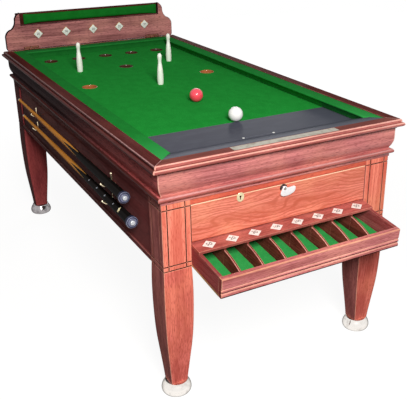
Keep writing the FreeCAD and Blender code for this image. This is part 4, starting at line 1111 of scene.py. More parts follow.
@dataclass
class TopRail(Assembly):
    """Cap rails, frieze boards, beads and the rest strip."""

    arris: float = 0.0007
    bead: float = 0.005                # faces of a bead are narrower than this
    crown_z: float = 0.8385            # the sides' lower bead ends here and keeps no painted highlight on its crown
    cap_mitre: float = 0.005
    frieze_mitre: float = 0.0035
    putty: tuple[float, float, float] = (0.050, 0.014, 0.0006)  # insets of its ends, half width
    putty_layer: Layer = (RAIL_TOP - 0.0003, RAIL_TOP + 0.0002, 0.0001)
    strip_half: float = 0.196
    strip_arris: float = 0.0004
    strip_y: float = -HALF_L + 0.0295 + SHIFT_Y
    strip_top: float = 0.8512
    screw_in: float = 0.012
    screw_r: float = 0.0022

    def bead_faces(self, face: Face) -> Mark:
        """Glossier polish for the narrow faces that make up a round bead, with a painted highlight on its
        crown.

        Args:
            face: the face.

        Returns:
            Its mark.
        """
        lean = face.normal.z
        if rise_of(face) > self.bead or abs(lean) > FLAT_LEAN:
            return Mark.FACE
        return Mark.CROWN if CROWN_LEAN[0] < lean < CROWN_LEAN[1] else Mark.BEAD

    def side_faces(self, face: Face) -> Mark:
        """As bead_faces, with the painted highlight on the upper bead alone.

        Args:
            face: the face.

        Returns:
            Its mark.
        """
        kind = self.bead_faces(face)
        # crowns low on the sides, or leaning less, keep the bead polish without the painted highlight
        dull = face.calc_center_median().z < self.crown_z or face.normal.z < 0.6
        return Mark.BEAD if kind == Mark.CROWN and dull else kind

    def is_side(self, point: Vector) -> bool:
        """Whether a point lies on a side's share of a mitred frame."""
        return abs(point.x) - HALF_W > abs(point.y - SHIFT_Y) - HALF_L

    def mitre_putty(self, side: int) -> Mesh:
        """Putty showing in one of the front mitres.

        Args:
            side: -1 for the left one, 1 for the right one.

        Returns:
            Its mesh.
        """
        inset, outset, half = self.putty
        inner, outer = (Vector((side * (HALF_W - d), SHIFT_Y - HALF_L + d)) for d in (inset, outset))
        across = Vector((side, 1)).normalized() * half
        line = [inner + across, outer + across, outer - across, inner - across]
        return taken(slab("mitre", [tuple(c) for c in line], self.putty_layer, FILLER))

    def build(self) -> None:
        """Make the rails, the frieze and the strip."""
        caps = [RAIL_X, ARRIS_X, WAX_AND_SHADE, BEAD_X, CROWN_X]
        for source, faces, marks, mitre in (
                ("cap_rail_front", caps, self.bead_faces, self.cap_mitre),
                ("cap_rail_back", caps, self.bead_faces, 0.0),
                ("cap_rail_sides", [RAIL_Y, ARRIS_Y, WAX_AND_SHADE, BEAD_Y, CROWN_Y], self.side_faces, 0.0),
                ("frieze_ends", [FRIEZE_X, ARRIS_X, WAX_AND_SHADE, CROWN_X], None, self.frieze_mitre),
                ("frieze_sides", [FRIEZE_Y, ARRIS_Y], None, 0.0)):
            self.ease(source, faces, self.arris, marks=marks, mitre=mitre)
        for name, faces, wanted in (
                ("frieze_beads_ends", [FRIEZE_X, ARRIS_X, WAX_AND_SHADE, BEAD_X, CROWN_LOW], False),
                ("frieze_beads_sides", [FRIEZE_Y, ARRIS_Y, WAX_AND_SHADE, BEAD_Y, RAIL_Y], True)):
            piece = softened("frieze_beads", name, self.arris, faces, marks=self.bead_faces,
                             keep=lambda p, wanted=wanted: self.is_side(p) == wanted)
            self.fit(piece, "table", "mahogany", "frieze_beads")
        self.ease("rest_strip", [STRIP_METAL], self.strip_arris, slot="strip_metal")
        self.fit(joined("mitre_filler", [self.mitre_putty(side) for side in (-1, 1)], FILLER), "table",
                 "mahogany")
        end = self.strip_half - self.screw_in
        self.screws("strip_screws", [((x, self.strip_y, self.strip_top), LEVEL) for x in (-end, 0.0, end)],
                    SCREW_STEEL, self.screw_r, "table", "strip_metal")


@dataclass
class Carcass(Assembly):
    """Legs with cut lines, foot cups, panels and the strips that frame them."""

    arris: float = 0.0018
    panel_arris: float = 0.0006
    strip_arris: float = 0.0008
    axis: Pair = (0.3855, 0.8435)      # of the legs, from the table's centre
    block_z: float = 0.484             # underside of the legs' blocks
    foot: Sequence[Pair] = ((0.0, 0.0), (0.036, 0.0), (0.0415, 0.0010), (0.0465, 0.0045), (0.0495, 0.0095),
                            (0.0507, 0.0150), (0.0507, 0.0190), (0.0498, 0.0245), (0.0480, 0.0295),
                            (0.0456, 0.0345), (0.0430, 0.0390), (0.0408, 0.0425), (0.0396, 0.0455),
                            (0.0392, 0.0474), (0.0380, 0.0480), (0.0, 0.0480))

    def line_faces(self, face: Face) -> Mark:
        """Wax for the slanting faces of the cut lines, a lighter polish for the block's broad faces, and
        painted shade: a darker polish for faces turned to the left.

        Args:
            face: the face.

        Returns:
            Its mark.
        """
        if max(abs(c) for c in face.normal) < 0.75:
            return Mark.WAX_AND_SHADE
        # painted shade: faces turned to the left take the darker side polish
        if face.normal.x < -0.7:
            return Mark.OUTER
        return Mark.BLOCK if face.calc_center_median().z > self.block_z else Mark.FACE

    def build(self) -> None:
        """Make the legs, feet and panels."""
        for leg in ("front_left", "front_right", "back_left", "back_right"):
            # the back left leg takes the darker copies of the polish: painted shade
            faces = [LEG_RED, LEG_DARK, WAX_AND_SHADE, LEG_RED, LEG_DARK] if leg == "back_left" else \
                [LEG_Z, ARRIS_Z, WAX_AND_SHADE, BLOCK_Z, LEG_SIDE]
            self.ease("leg_" + leg, faces, self.arris, marks=self.line_faces)
        # the back feet take the darker plating: painted shade
        for name, end, metal in (("foot_cups_front", -1, FOOT_METAL), ("foot_cups_back", 1, FOOT_SHADED)):
            spots = [((x * self.axis[0], end * self.axis[1] + SHIFT_Y, 0.0), LEVEL) for x in (-1, 1)]
            self.stand(name, mesh_from(lathe(self.foot, 64), "foot cup"), spots, metal, "table",
                       "plated_steel", "foot_cups")
        for source, faces, radius in (("side_panels", [SIDE_Y, ARRIS_Y], self.panel_arris),
                                      ("back_panel", [TRAY_X, ARRIS_X], self.panel_arris),
                                      ("panel_strips", [SIDE_Y, ARRIS_Y], self.strip_arris),
                                      ("front_rail", [TOP_X, ARRIS_X], self.strip_arris)):
            self.ease(source, faces, radius)


@dataclass
class Bed(Assembly):
    """Bed board, cloth, baulk mat and ramp, cushions, hole rings and spots."""

    half_x: float = 0.407
    half_y: float = 0.865
    baulk_y: float = -0.561
    top: float = 0.814
    thick: float = 0.0015
    cloth_edge: float = 0.0006
    mat_edge: float = 0.0005
    hole_r: float = 0.0273
    ring_r: float = 0.0306
    lip_r: float = 0.0324
    lip_h: float = 0.0016
    bottom: float = 0.7925
    holes: Sequence[Pair] = ((-0.277, 0.737), (-0.1385, 0.737), (0.0, 0.737), (0.1385, 0.737),
                             (0.277, 0.737), (0.0, 0.457), (-0.277, 0.170), (0.277, 0.170))
    worn_y: float = 0.3                # rings nearer than this are worn
    flat: float = 0.050                # flat width of the rail beside a cushion
    nose: float = 0.0515
    far_nose: float = 0.059
    nose_r: float = 0.0048
    base_z: float = 0.8166             # step in a cushion's underside, over the cloth's edge
    base_s: float = 0.0603
    chalk: Pair = (0.0007, 0.0002)     # half width and half height of the line between the spots
    ramp_arris: float = 0.0002

    def cushion_section(self, flat: float, width: float) -> list[Pair]:
        """Section of a cushion: cloth tucked in beside the rail, low crown, round nose, hollow under it.

        Args:
            flat: inset of its straight edge.
            width: how far the nose stands out from it.

        Returns:
            Closed outline as (inset, height).
        """
        top = RAIL_TOP - 0.001
        end = flat + width
        points = [(flat + 0.0002, self.base_z), (flat + 0.0002, top - 0.0022), (flat + 0.0012, top - 0.0006)]
        points += [(flat + 0.0012 + share * (width - 0.006),
                    top + 0.0009 * math.sin(math.pi * share) - 0.0006 * (1 - share))
                   for share in (step / 8 for step in range(1, 8))]
        points += [(end + self.nose_r * (math.cos(a) - 1), top + self.nose_r * (math.sin(a) - 1))
                   for a in (math.pi / 2 * (1 - step / 6) for step in range(7))]
        under = self.top + 0.028
        points.append((end - 0.0002, under + 0.001))
        points += [(end - 0.0005 - 0.020 * share ** 0.8, under - 0.0275 * share ** 1.15)
                   for share in (step / 8 for step in range(1, 9))]
        return points + [(self.base_s, self.top + 0.0004), (self.base_s, self.base_z)]

    def cushions(self) -> None:
        """Three cloth-covered rubber cushions, hard and tight."""
        slope = self.far_nose / self.nose
        flat, inset = self.flat, HALF_L - BOARD_FACE
        wide, front, back = HALF_W - flat, SHIFT_Y - HALF_L + flat, BOARD_FACE + SHIFT_Y
        side_section = self.cushion_section(flat, self.nose)
        far_section = [p for p in self.cushion_section(inset, self.far_nose)
                       if p[1] > self.base_z - 0.0001 or p[0] > self.base_s + 0.0002]

        def side_end(side: int, from_y: float, slant: float) -> Ends:
            """End of a side cushion."""
            return lambda s, z: (side * (HALF_W - s), from_y + max(0.0, s - flat) * slant, z)

        def far_end(side: int) -> Ends:
            """End of the far cushion."""
            return lambda s, z: (side * (wide - (s - inset) / slope), HALF_L - s + SHIFT_Y, z)

        # the right and far cushions take the darker copies of the baize: painted shade
        for name, section, start, end, steps, finish in (
                ("cushion_left", side_section, side_end(-1, front, 1.0), side_end(-1, back, -slope), 60,
                 CUSHION_BAIZE),
                ("cushion_right", side_section, side_end(1, front, 1.0), side_end(1, back, -slope), 60,
                 CUSHION_RIGHT_SHADED),
                ("cushion_far", far_section, far_end(-1), far_end(1), 30, CUSHION_FAR_SHADED)):
            piece = swept(name + "_made", section, start, end, steps, finish)
            self.fit(piece, "table", "green_cloth", name)

    def cloths(self) -> None:
        """Green cloth stretched over the bed and the dark coated cloth at the player's end."""
        holes = [(x, y + SHIFT_Y, self.ring_r) for x, y in self.holes]
        low, high, wide = self.top - self.thick, self.top, 2 * self.half_x
        edge, near, far = (y + SHIFT_Y for y in (-self.half_y, self.baulk_y, self.half_y))
        cloth = slab("bed_cloth_made", rectangle(-self.half_x, near, self.half_x, far),
                     (low, high, self.cloth_edge), BED_BAIZE, holes=holes)
        self.fit(cloth, "table", "green_cloth", "bed_cloth")
        mat = slab("baulk_mat_made", rectangle(-self.half_x, edge, self.half_x, near),
                   (low, high, self.mat_edge), MAT_CLOTH)
        self.fit(mat, "table", "grey_cloth", "baulk_mat")
        ramp = softened("baulk_ramp", "baulk_ramp_made", self.ramp_arris, [RAMP_CLOTH])
        self.fit(ramp, "table", "grey_cloth", "baulk_ramp")

    def rings(self) -> None:
        """Turned rings in the holes."""
        low, high, bore, lip = self.bottom, self.top, self.hole_r, self.lip_r
        profile = [(self.ring_r, low), (self.ring_r, high), (lip, high + 0.0001),
                   (lip - 0.0006, high + 0.0011), ((bore + lip) / 2, high + self.lip_h),
                   (bore + 0.0020, high + 0.0009), (bore + 0.0013, high - 0.0012),
                   (bore + 0.0006, high - 0.0040), (bore + 0.0001, high - 0.0075),
                   (bore, high - 0.0105), (bore, low + 0.001), (bore + 0.0008, low)]
        for name, finish, worn in (("hole_rings_far", RING_DARK, False),
                                   ("hole_rings_near", RING_WORN, True)):
            spots = [((x, y + SHIFT_Y, 0.0), LEVEL) for x, y in self.holes if (y < self.worn_y) == worn]
            self.stand(name, mesh_from(lathe(profile, ROUND, hoop=True), name), spots, finish, "table",
                       "turned_ring", "hole_rings")

    def build(self) -> None:
        """Make everything on the bed."""
        self.dress(DEAL_Y, "bed_board")
        self.dress(DEAL_X, "bed_bearers")
        self.cloths()
        self.cushions()
        self.rings()
        self.dress(IVORINE, "baulk_spots")
        low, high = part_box("baulk_spots")
        mid = (low.y + high.y) / 2
        wide, thick = self.chalk
        line = slab("baulk_chalk_line", rectangle(low.x, mid - wide, high.x, mid + wide),
                    (self.top - thick, self.top + thick, thick / 2), CHALK)
        self.fit(line, "table", "grey_cloth")


@dataclass
class BallReturn(Assembly):
    """Sloped floor with its lanes, and the tray with its number board."""

    leg_y: float = -0.8915 + SHIFT_Y
    floor_z: float = 0.4925
    pitch: float = 0.08225
    divider: float = 0.008
    front: float = -0.170
    lining_end: float = 0.060
    lining: Layer = (0.0, 0.0015, 0.0005)
    plate: Pair = (-0.0155, 0.07225)   # place and height of the plates' faces on the runway
    figures: Pair = (0.021, 0.016)     # height of numbers of two figures and of three
    wall_arris: float = 0.001
    lane_arris: float = 0.0022
    tray_arris: float = 0.0017
    board_arris: float = 0.0008
    plate_arris: float = 0.0004
    moulding: Pair = (0.006, 0.008)    # faces under the mouldings and on their crowns are narrower
    scores: Sequence[str] = ("50", "20", "30", "100", "200", "30", "20", "50")

    def tray_faces(self, face: Face) -> Mark:
        """Painted shade under the mouldings, in a darker lane-board polish inside the right end and a darker
        polish outside the left; a painted highlight on the mouldings' crowns.

        Args:
            face: the face.

        Returns:
            Its mark.
        """
        out, spread = face.normal, rise_of(face)
        # painted shade: faces under the mouldings take the dark wax colour
        if out.z < -0.3 and spread < self.moulding[0] and out.y < -0.2:
            return Mark.WAX_AND_SHADE
        # painted shade: faces turned to the left take darker polish, the lane-board polish inside the right
        # end
        if out.x < -0.7:
            return Mark.INSIDE if face.calc_center_median().x > 0 else Mark.OUTER
        # painted highlight: upward-leaning crown faces take the pale moulding finish
        crown = CROWN_LEAN[0] < out.z < CROWN_LEAN[1] and spread < self.moulding[1] and out.y < -0.2
        return Mark.MOULDING if crown else Mark.FACE

    def on_runway(self, x: float, y: float = 0.0, z: float = 0.0) -> Matrix:
        """Place on the sloping runway, from level runway coordinates."""
        return place_on((0.0, self.leg_y, self.floor_z), (SLOPE, 0.0, 0.0)) @ place_on((x, y, z))

    def build(self) -> None:
        """Make the ball return and its tray."""
        self.dress(DEAL_Y, "runway_floor")
        self.dress(DEAL_X, "runway_bearers")
        self.ease("runway_walls", [TRAY_Y, ARRIS_Y], self.wall_arris)
        self.dress(LANE_Y, "runway_dividers")
        self.ease("tray_dividers", [LANE_Y, LANE_EDGE], self.lane_arris)
        self.ease("tray_front", [TRAY_X, ARRIS_TRAY, WAX_AND_SHADE, LANE_Y, TRAY_LEFT, CROWN_TRAY],
                  self.tray_arris, marks=self.tray_faces)
        self.ease("label_board", [LABEL_X, ARRIS_X], self.board_arris)
        self.ease("number_plates", [IVORINE], self.plate_arris, slot="white_plate")
        half = (self.pitch - self.divider) / 2
        outline = rectangle(-half, self.front, half, self.lining_end)
        numbers = []
        for lane, score in enumerate(self.scores):
            x = (lane - (len(self.scores) - 1) / 2) * self.pitch
            strip = slab("tray_lining_%d" % (lane + 1), outline, self.lining, TRAY_BAIZE,
                         self.on_runway(x))
            self.fit(strip, "table", "green_cloth", "tray_lining")
            numbers.append(numeral(score, self.figures[len(score) > 2], self.on_runway(x, *self.plate)))
        self.fit(joined("tray_numerals", numbers, INK), "table", "white_plate")


@dataclass
class Flap(Assembly):
    """Drop-front flap with its lock, key plate, pivots and turn-catch."""

    face_y: float = -0.8895 + SHIFT_Y
    key: Pair = (-0.163, 0.6845)
    arris: float = 0.0006
    gap: float = 0.0016      # planed off each end of the flap so that it clears the legs
    end: float = 0.004       # length of the flap that belongs to an end
    # radii and layers of the key plate, of the painted shade behind the keyhole and in it, of the washer
    plate: Pair = (0.0135, 0.0160)
    plate_layer: Layer = (0.0001, 0.0015, 0.0005)
    plate_hole: Pair = (0.0012, 0.0034)          # its height over the keyhole, its radius
    pin_z: float = 0.0125
    pin_r: float = 0.0012
    keyhole: Pair = (0.0062, 0.0085)
    keyhole_layer: Layer = (-0.0002, 0.0005, 0.0001)
    slot: Sequence[float] = (0.0012, 0.0019, 0.0082)   # half width at its top and foot, height
    slot_layer: Layer = (0.0004, 0.00156, 0.0001)
    washer: Pair = (0.0135, 0.0125)
    washer_layer: Layer = (0.0, 0.0013, 0.0004)
    washer_from: Pair = (-0.002, 0.0015)         # its centre from the screw, up and to the left, so that its dark rim shows as painted shadow
    lever_layer: Layer = (0.0016, 0.0074, 0.0016)
    bores: Pair = (0.0026, 0.0027)               # screw's hole in the lever and in the washer
    # outline of the catch about its screw, in millimetres
    moon: Sequence[Pair] = ((4.5, 8.0), (0.0, 9.4), (-4.5, 8.0), (-8.0, 4.0), (-10.5, -1.0), (-13.5, -7.0),
                            (-15.8, -13.0), (-16.0, -19.5), (-12.5, -24.8), (-4.0, -27.2), (6.0, -27.4),
                            (18.0, -25.8), (28.0, -23.0), (35.0, -19.5), (40.0, -14.0), (42.0, -7.0),
                            (41.4, -1.0), (38.5, 2.6), (33.0, 3.8), (24.0, 3.0), (16.0, 1.6), (10.0, 2.2),
                            (7.4, 4.6))

    def flap_faces(self, face: Face) -> Mark:
        """A painted highlight on the top chamfer, and painted shade on the flap's ends, in the gaps beside
        the legs.

        Args:
            face: the face.

        Returns:
            Its mark.
        """
        # painted shade: the flap's ends, in the gaps beside the legs, take the dark wax colour
        if abs(face.normal.x) > 0.7:
            return Mark.WAX_AND_SHADE
        # painted highlight: the upward-facing top chamfer takes the pale edge finish
        return Mark.EDGE if face.normal.z > 0.4 and face.normal.y < -0.4 else Mark.FACE

    def on_face(self, name: str, outer: Sequence[Pair], layer: Layer, finish: Finish,
                holes: Sequence[Point] = ()) -> Piece:
        """Slab drawn on the flap's face, standing out towards the player."""
        return slab(name, outer, layer, finish, place_on((0.0, self.face_y, 0.0), UPRIGHT), holes)

    def catch(self) -> None:
        """Half-moon thumb catch on a dark washer, which is set off to the upper left as the catch's painted
        shadow.
        """
        low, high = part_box("catch_screw")
        x, z = (low.x + high.x) / 2, (low.z + high.z) / 2
        outline = [(x + u / 1000, z + v / 1000) for u, v in self.moon]
        lever = self.on_face("catch_lever_made", outline, self.lever_layer, LEVER_METAL,
                             [(x, z, self.bores[0])])
        self.fit(lever, "catch", "plated_steel", "catch_lever")
        ring = oval(32, *self.washer, x + self.washer_from[0], z + self.washer_from[1])
        washer = self.on_face("catch_washer", ring, self.washer_layer, CATCH_SHADOW_STEEL, [(x, z, self.bores[1])])
        self.fit(washer, "flap", "plated_steel")

    def build(self) -> None:
        """Make the flap and its metalwork."""
        flap = softened("front_flap", "front_flap_made", self.arris, [FLAP_X, ARRIS_X, WAX_AND_SHADE, FLAP_EDGE_HIGHLIGHT],
                        marks=self.flap_faces)
        end = max(v.co.x for v in flap.data.vertices)
        for vert in flap.data.vertices:
            if abs(vert.co.x) > end - self.end:
                vert.co.x -= math.copysign(self.gap, vert.co.x)
        self.fit(flap, "flap", "mahogany", "front_flap")
        self.dress(LOCK_STEEL, "flap_pivots", "lock_case", "lock_bolt")
        x, z = self.key
        pins = [((x, self.face_y - self.plate_layer[1], z + rise), UPRIGHT)
                for rise in (self.pin_z, -self.pin_z)]
        self.screws("key_plate_pins", pins, PLATE_BRASS, self.pin_r, "flap", "plated_steel")
        plate = self.on_face("key_plate_made", oval(48, *self.plate, x, z), self.plate_layer, PLATE_BRASS,
                             [(x, z + self.plate_hole[0], self.plate_hole[1])])
        self.fit(plate, "flap", "plated_steel", "key_plate")
        top, foot, deep = self.slot
        slot = [(x - top, z), (x - foot, z - deep), (x + foot, z - deep), (x + top, z)]
        # painted shade: a dark plate behind the keyhole and a dark slot shape in front of the key plate
        dark = [taken(self.on_face("keyhole", outline, layer, WAX_AND_SHADE)) for outline, layer in
                ((oval(48, *self.keyhole, x, z), self.keyhole_layer), (slot, self.slot_layer))]
        self.fit(joined("keyhole_dark", dark, WAX_AND_SHADE), "flap", "plated_steel")
        self.catch()
        self.dress(SCREW_STEEL, "catch_screw")


@dataclass
class Headboard(Assembly):
    """Scalloped folding board with its pad, score plates and hinges."""

    face_y: float = BOARD_FACE + SHIFT_Y
    arris: float = 0.0022
    back_arris: float = 0.001
    score_z: float = 0.923
    pitch: float = 0.142
    scores: Sequence[str] = ("20", "30", "50", "30", "20")
    plate: Pair = (0.0224, 0.0012)       # half diagonal and thickness of a score plate, of its rim
    rim: Pair = (0.0246, 0.0007)
    rolled: float = 0.0003
    figure: float = 0.0155
    figure_out: float = 0.00125
    hinge_x: float = 0.325
    hinge_z: float = RAIL_TOP + 0.0112
    hinge_pitch: float = 0.028
    leaf: float = 0.0016     # thickness of a hinge leaf, rounded over all of it
    screw_r: float = 0.0018
    shell: float = 0.004     # room that the pad's cloth has to swell into
    cell: float = 0.005
    bulge: float = 0.003

    def swell(self, piece: Piece) -> None:
        """Blow the pad's cloth up by pressure, no further than its room.

        Args:
            piece: the pad, as an even mesh.
        """
        rest = [v.co.copy() for v in piece.data.vertices]
        cloth = piece.modifiers.new("filling", "CLOTH").settings
        cloth.use_pressure = True
        cloth.uniform_pressure_force = 4.0
        cloth.effector_weights.gravity = 0.0
        scene = bpy.context.scene
        for step in range(1, 21):
            scene.frame_set(step)
        view = bpy.context.evaluated_depsgraph_get()
        grown = [v.co.copy() for v in piece.evaluated_get(view).data.vertices]
        piece.modifiers.clear()
        scene.frame_set(1)
        for vert, start, end in zip(piece.data.vertices, rest, grown):
            step = end - start
            vert.co = start + step * min(1.0, self.shell / max(step.length, 1e-9))

    def pad(self) -> None:
        """Padded strip behind the cut-out: a filled cloth shell, blown up and held by its edges."""
        low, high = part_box("headboard_pad")
        size = high - low
        shape = bmesh.new()
        bmesh.ops.create_cube(shape, size=1.0)
        for vert in shape.verts:
            vert.co = Vector([(low[i] + high[i]) / 2 + vert.co[i] * (size[i] - self.shell) for i in range(3)])
        piece = shown("headboard_pad_made", mesh_from(shape, "headboard_pad_made"), [PAD_BAIZE], 80.0)
        mould = piece.modifiers.new("even cells", "REMESH")
        mould.mode = "VOXEL"
        mould.voxel_size = self.cell
        piece.data = settled(piece)
        piece.modifiers.clear()
        self.swell(piece)
        for vert in piece.data.vertices:
            for axis, edge in enumerate((0.0, self.bulge, 0.0)):
                vert.co[axis] = min(max(vert.co[axis], low[axis] - edge), high[axis])
        round_off = piece.modifiers.new("round", "SUBSURF")
        round_off.levels = round_off.render_levels = 1
        piece.data.shade_smooth()
        self.fit(piece, "headboard", "green_cloth", "headboard_pad")

    def build(self) -> None:
        """Make the headboard and what is on it."""
        self.ease("headboard", [BOARD_X, END_GRAIN, WAX_AND_SHADE, END_GRAIN], self.arris, "headboard",
                  marks=lambda face: Mark.EDGE if abs(face.normal.x) > 0.3 else Mark.FACE)
        self.ease("headboard_back", [DARK_X], self.back_arris, "headboard", "dark_wood")
        self.pad()
        across = [(i - (len(self.scores) - 1) / 2) * self.pitch for i in range(len(self.scores))]
        spots = [((x, self.face_y, self.score_z), UPRIGHT) for x in across]
        for name, (half, top), finish, slot in (("score_plates_made", self.plate, IVORINE, "white_plate"),
                                                ("score_rims", self.rim, RIM_BRASS, "brass")):
            part = taken(slab(name + " one", oval(4, half), (0.0, top, self.rolled), finish))
            self.stand(name, part, spots, finish, "headboard", slot, "score_plates")
        out = self.face_y - self.figure_out
        numbers = [numeral(text, self.figure, place_on((x, out, self.score_z), UPRIGHT))
                   for x, text in zip(across, self.scores)]
        self.fit(joined("score_numerals", numbers, INK), "headboard", "white_plate")
        # painted shadow: the hinge leaves' rounded edges take the dark wax colour, as the outline of a recess
        for source, body in (("hinge_rail_leaves", "table"), ("hinge_board_leaves", "headboard")):
            self.ease(source, [HINGE_BRASS, WAX_AND_SHADE], self.leaf, body, "aged_brass")
        spots = [((side * self.hinge_x + place * self.hinge_pitch, self.face_y - self.leaf, self.hinge_z),
                  UPRIGHT) for side in (-1, 1) for place in (-1, 0, 1)]
        self.screws("hinge_screws", spots, SCREW_STEEL, self.screw_r, "headboard", "aged_brass")


@dataclass
class Cue(Assembly):
    """One cue along Y: tipped ash shaft spliced into an ebony butt with a button end."""

    name: str
    z: float
    end_y: float             # butt end, in the frame
    point_y: float
    root_y: float
    x: float = -0.4575
    length: float = 1.368
    butt: float = 0.490
    ferrule: float = 0.022
    tip: float = 0.009
    tip_r: float = 0.0055
    joint_r: float = 0.0112
    butt_r: float = 0.017
    cap_r: float = 0.020
    cap_l: float = 0.014

    def radius(self, run: float) -> float:
        """Radius at a distance from the butt end.

        Args:
            run: the distance.

        Returns:
            The radius.
        """
        if run < self.butt:
            return self.butt_r + (self.joint_r - self.butt_r) * run / self.butt
        share = (run - self.butt) / (self.length - self.butt)
        return self.joint_r + (self.tip_r - self.joint_r) * share

    def taper(self, start: float, end: float, steps: int) -> list[Pair]:
        """Profile of the wood from one place to another, closed at its first end."""
        runs = [start + i * (end - start) / steps for i in range(steps + 1)]
        return [(0.0, start)] + [(self.radius(r), r) for r in runs]

    def build(self) -> None:
        """Turn the cue's shaft, its butt and its end."""
        ferrule, tip, rim = self.length - self.ferrule, self.length - self.tip, self.cap_r
        wood = SplicedCue("ash and ebony of the %s cue" % self.name, self.x, self.z, self.point_y,
                          self.root_y)
        shaft = self.taper(self.butt, ferrule, 12) + [
            (self.radius(ferrule) + 0.0002, ferrule + 0.0003), (self.tip_r + 0.0002, tip),
            (self.tip_r - 0.0002, tip + 0.0002), (self.tip_r - 0.0003, self.length - 0.0035),
            (self.tip_r - 0.0012, self.length - 0.0012), (0.0025, self.length), (0.0, self.length)]
        cap = [(0.0, -0.0062), (0.0045, -0.0070), (0.0066, -0.0066), (0.0080, -0.0050), (0.0080, -0.0004),
               (0.0088, 0.0004), (0.0135, 0.0001), (0.0142, 0.0009), (0.0150, 0.0001), (rim - 0.0022, 0.0001),
               (rim - 0.0006, 0.0008), (rim, 0.0022), (rim, 0.0092), (rim - 0.0008, 0.0098),
               (rim - 0.0008, 0.0106), (rim, 0.0112), (rim - 0.0002, 0.0134), (rim - 0.0010, self.cap_l),
               (0.0, self.cap_l)]
        along = place_on((self.x, self.end_y, self.z), (-math.pi / 2, 0.0, 0.0))
        for part, profile, finishes, steps, slot, bands in (
                ("shaft", shaft, [wood, FERRULE, LEATHER], 32, "ash",
                 lambda h: 0 if h < ferrule else 1 if h < tip + 0.0001 else 2),
                ("butt", self.taper(self.cap_l, self.butt, 8) + [(0.0, self.butt)], [wood], 32, "ebony",
                 None),
                # the cap's rounded rim takes the painted highlight band
                ("cap", cap, [BLACK_HORN, PEARL, RIM_HIGHLIGHT_HORN], 48, "cue_cap",
                 lambda h: 1 if h < -0.0002 else 2 if 0.0001 < h < 0.0018 else 0)):
            name = "cue_%s_%s" % (self.name, part)
            made = turned(name + "_made", profile, along, finishes, steps, bands)
            self.fit(made, "cue_" + self.name, slot, name)


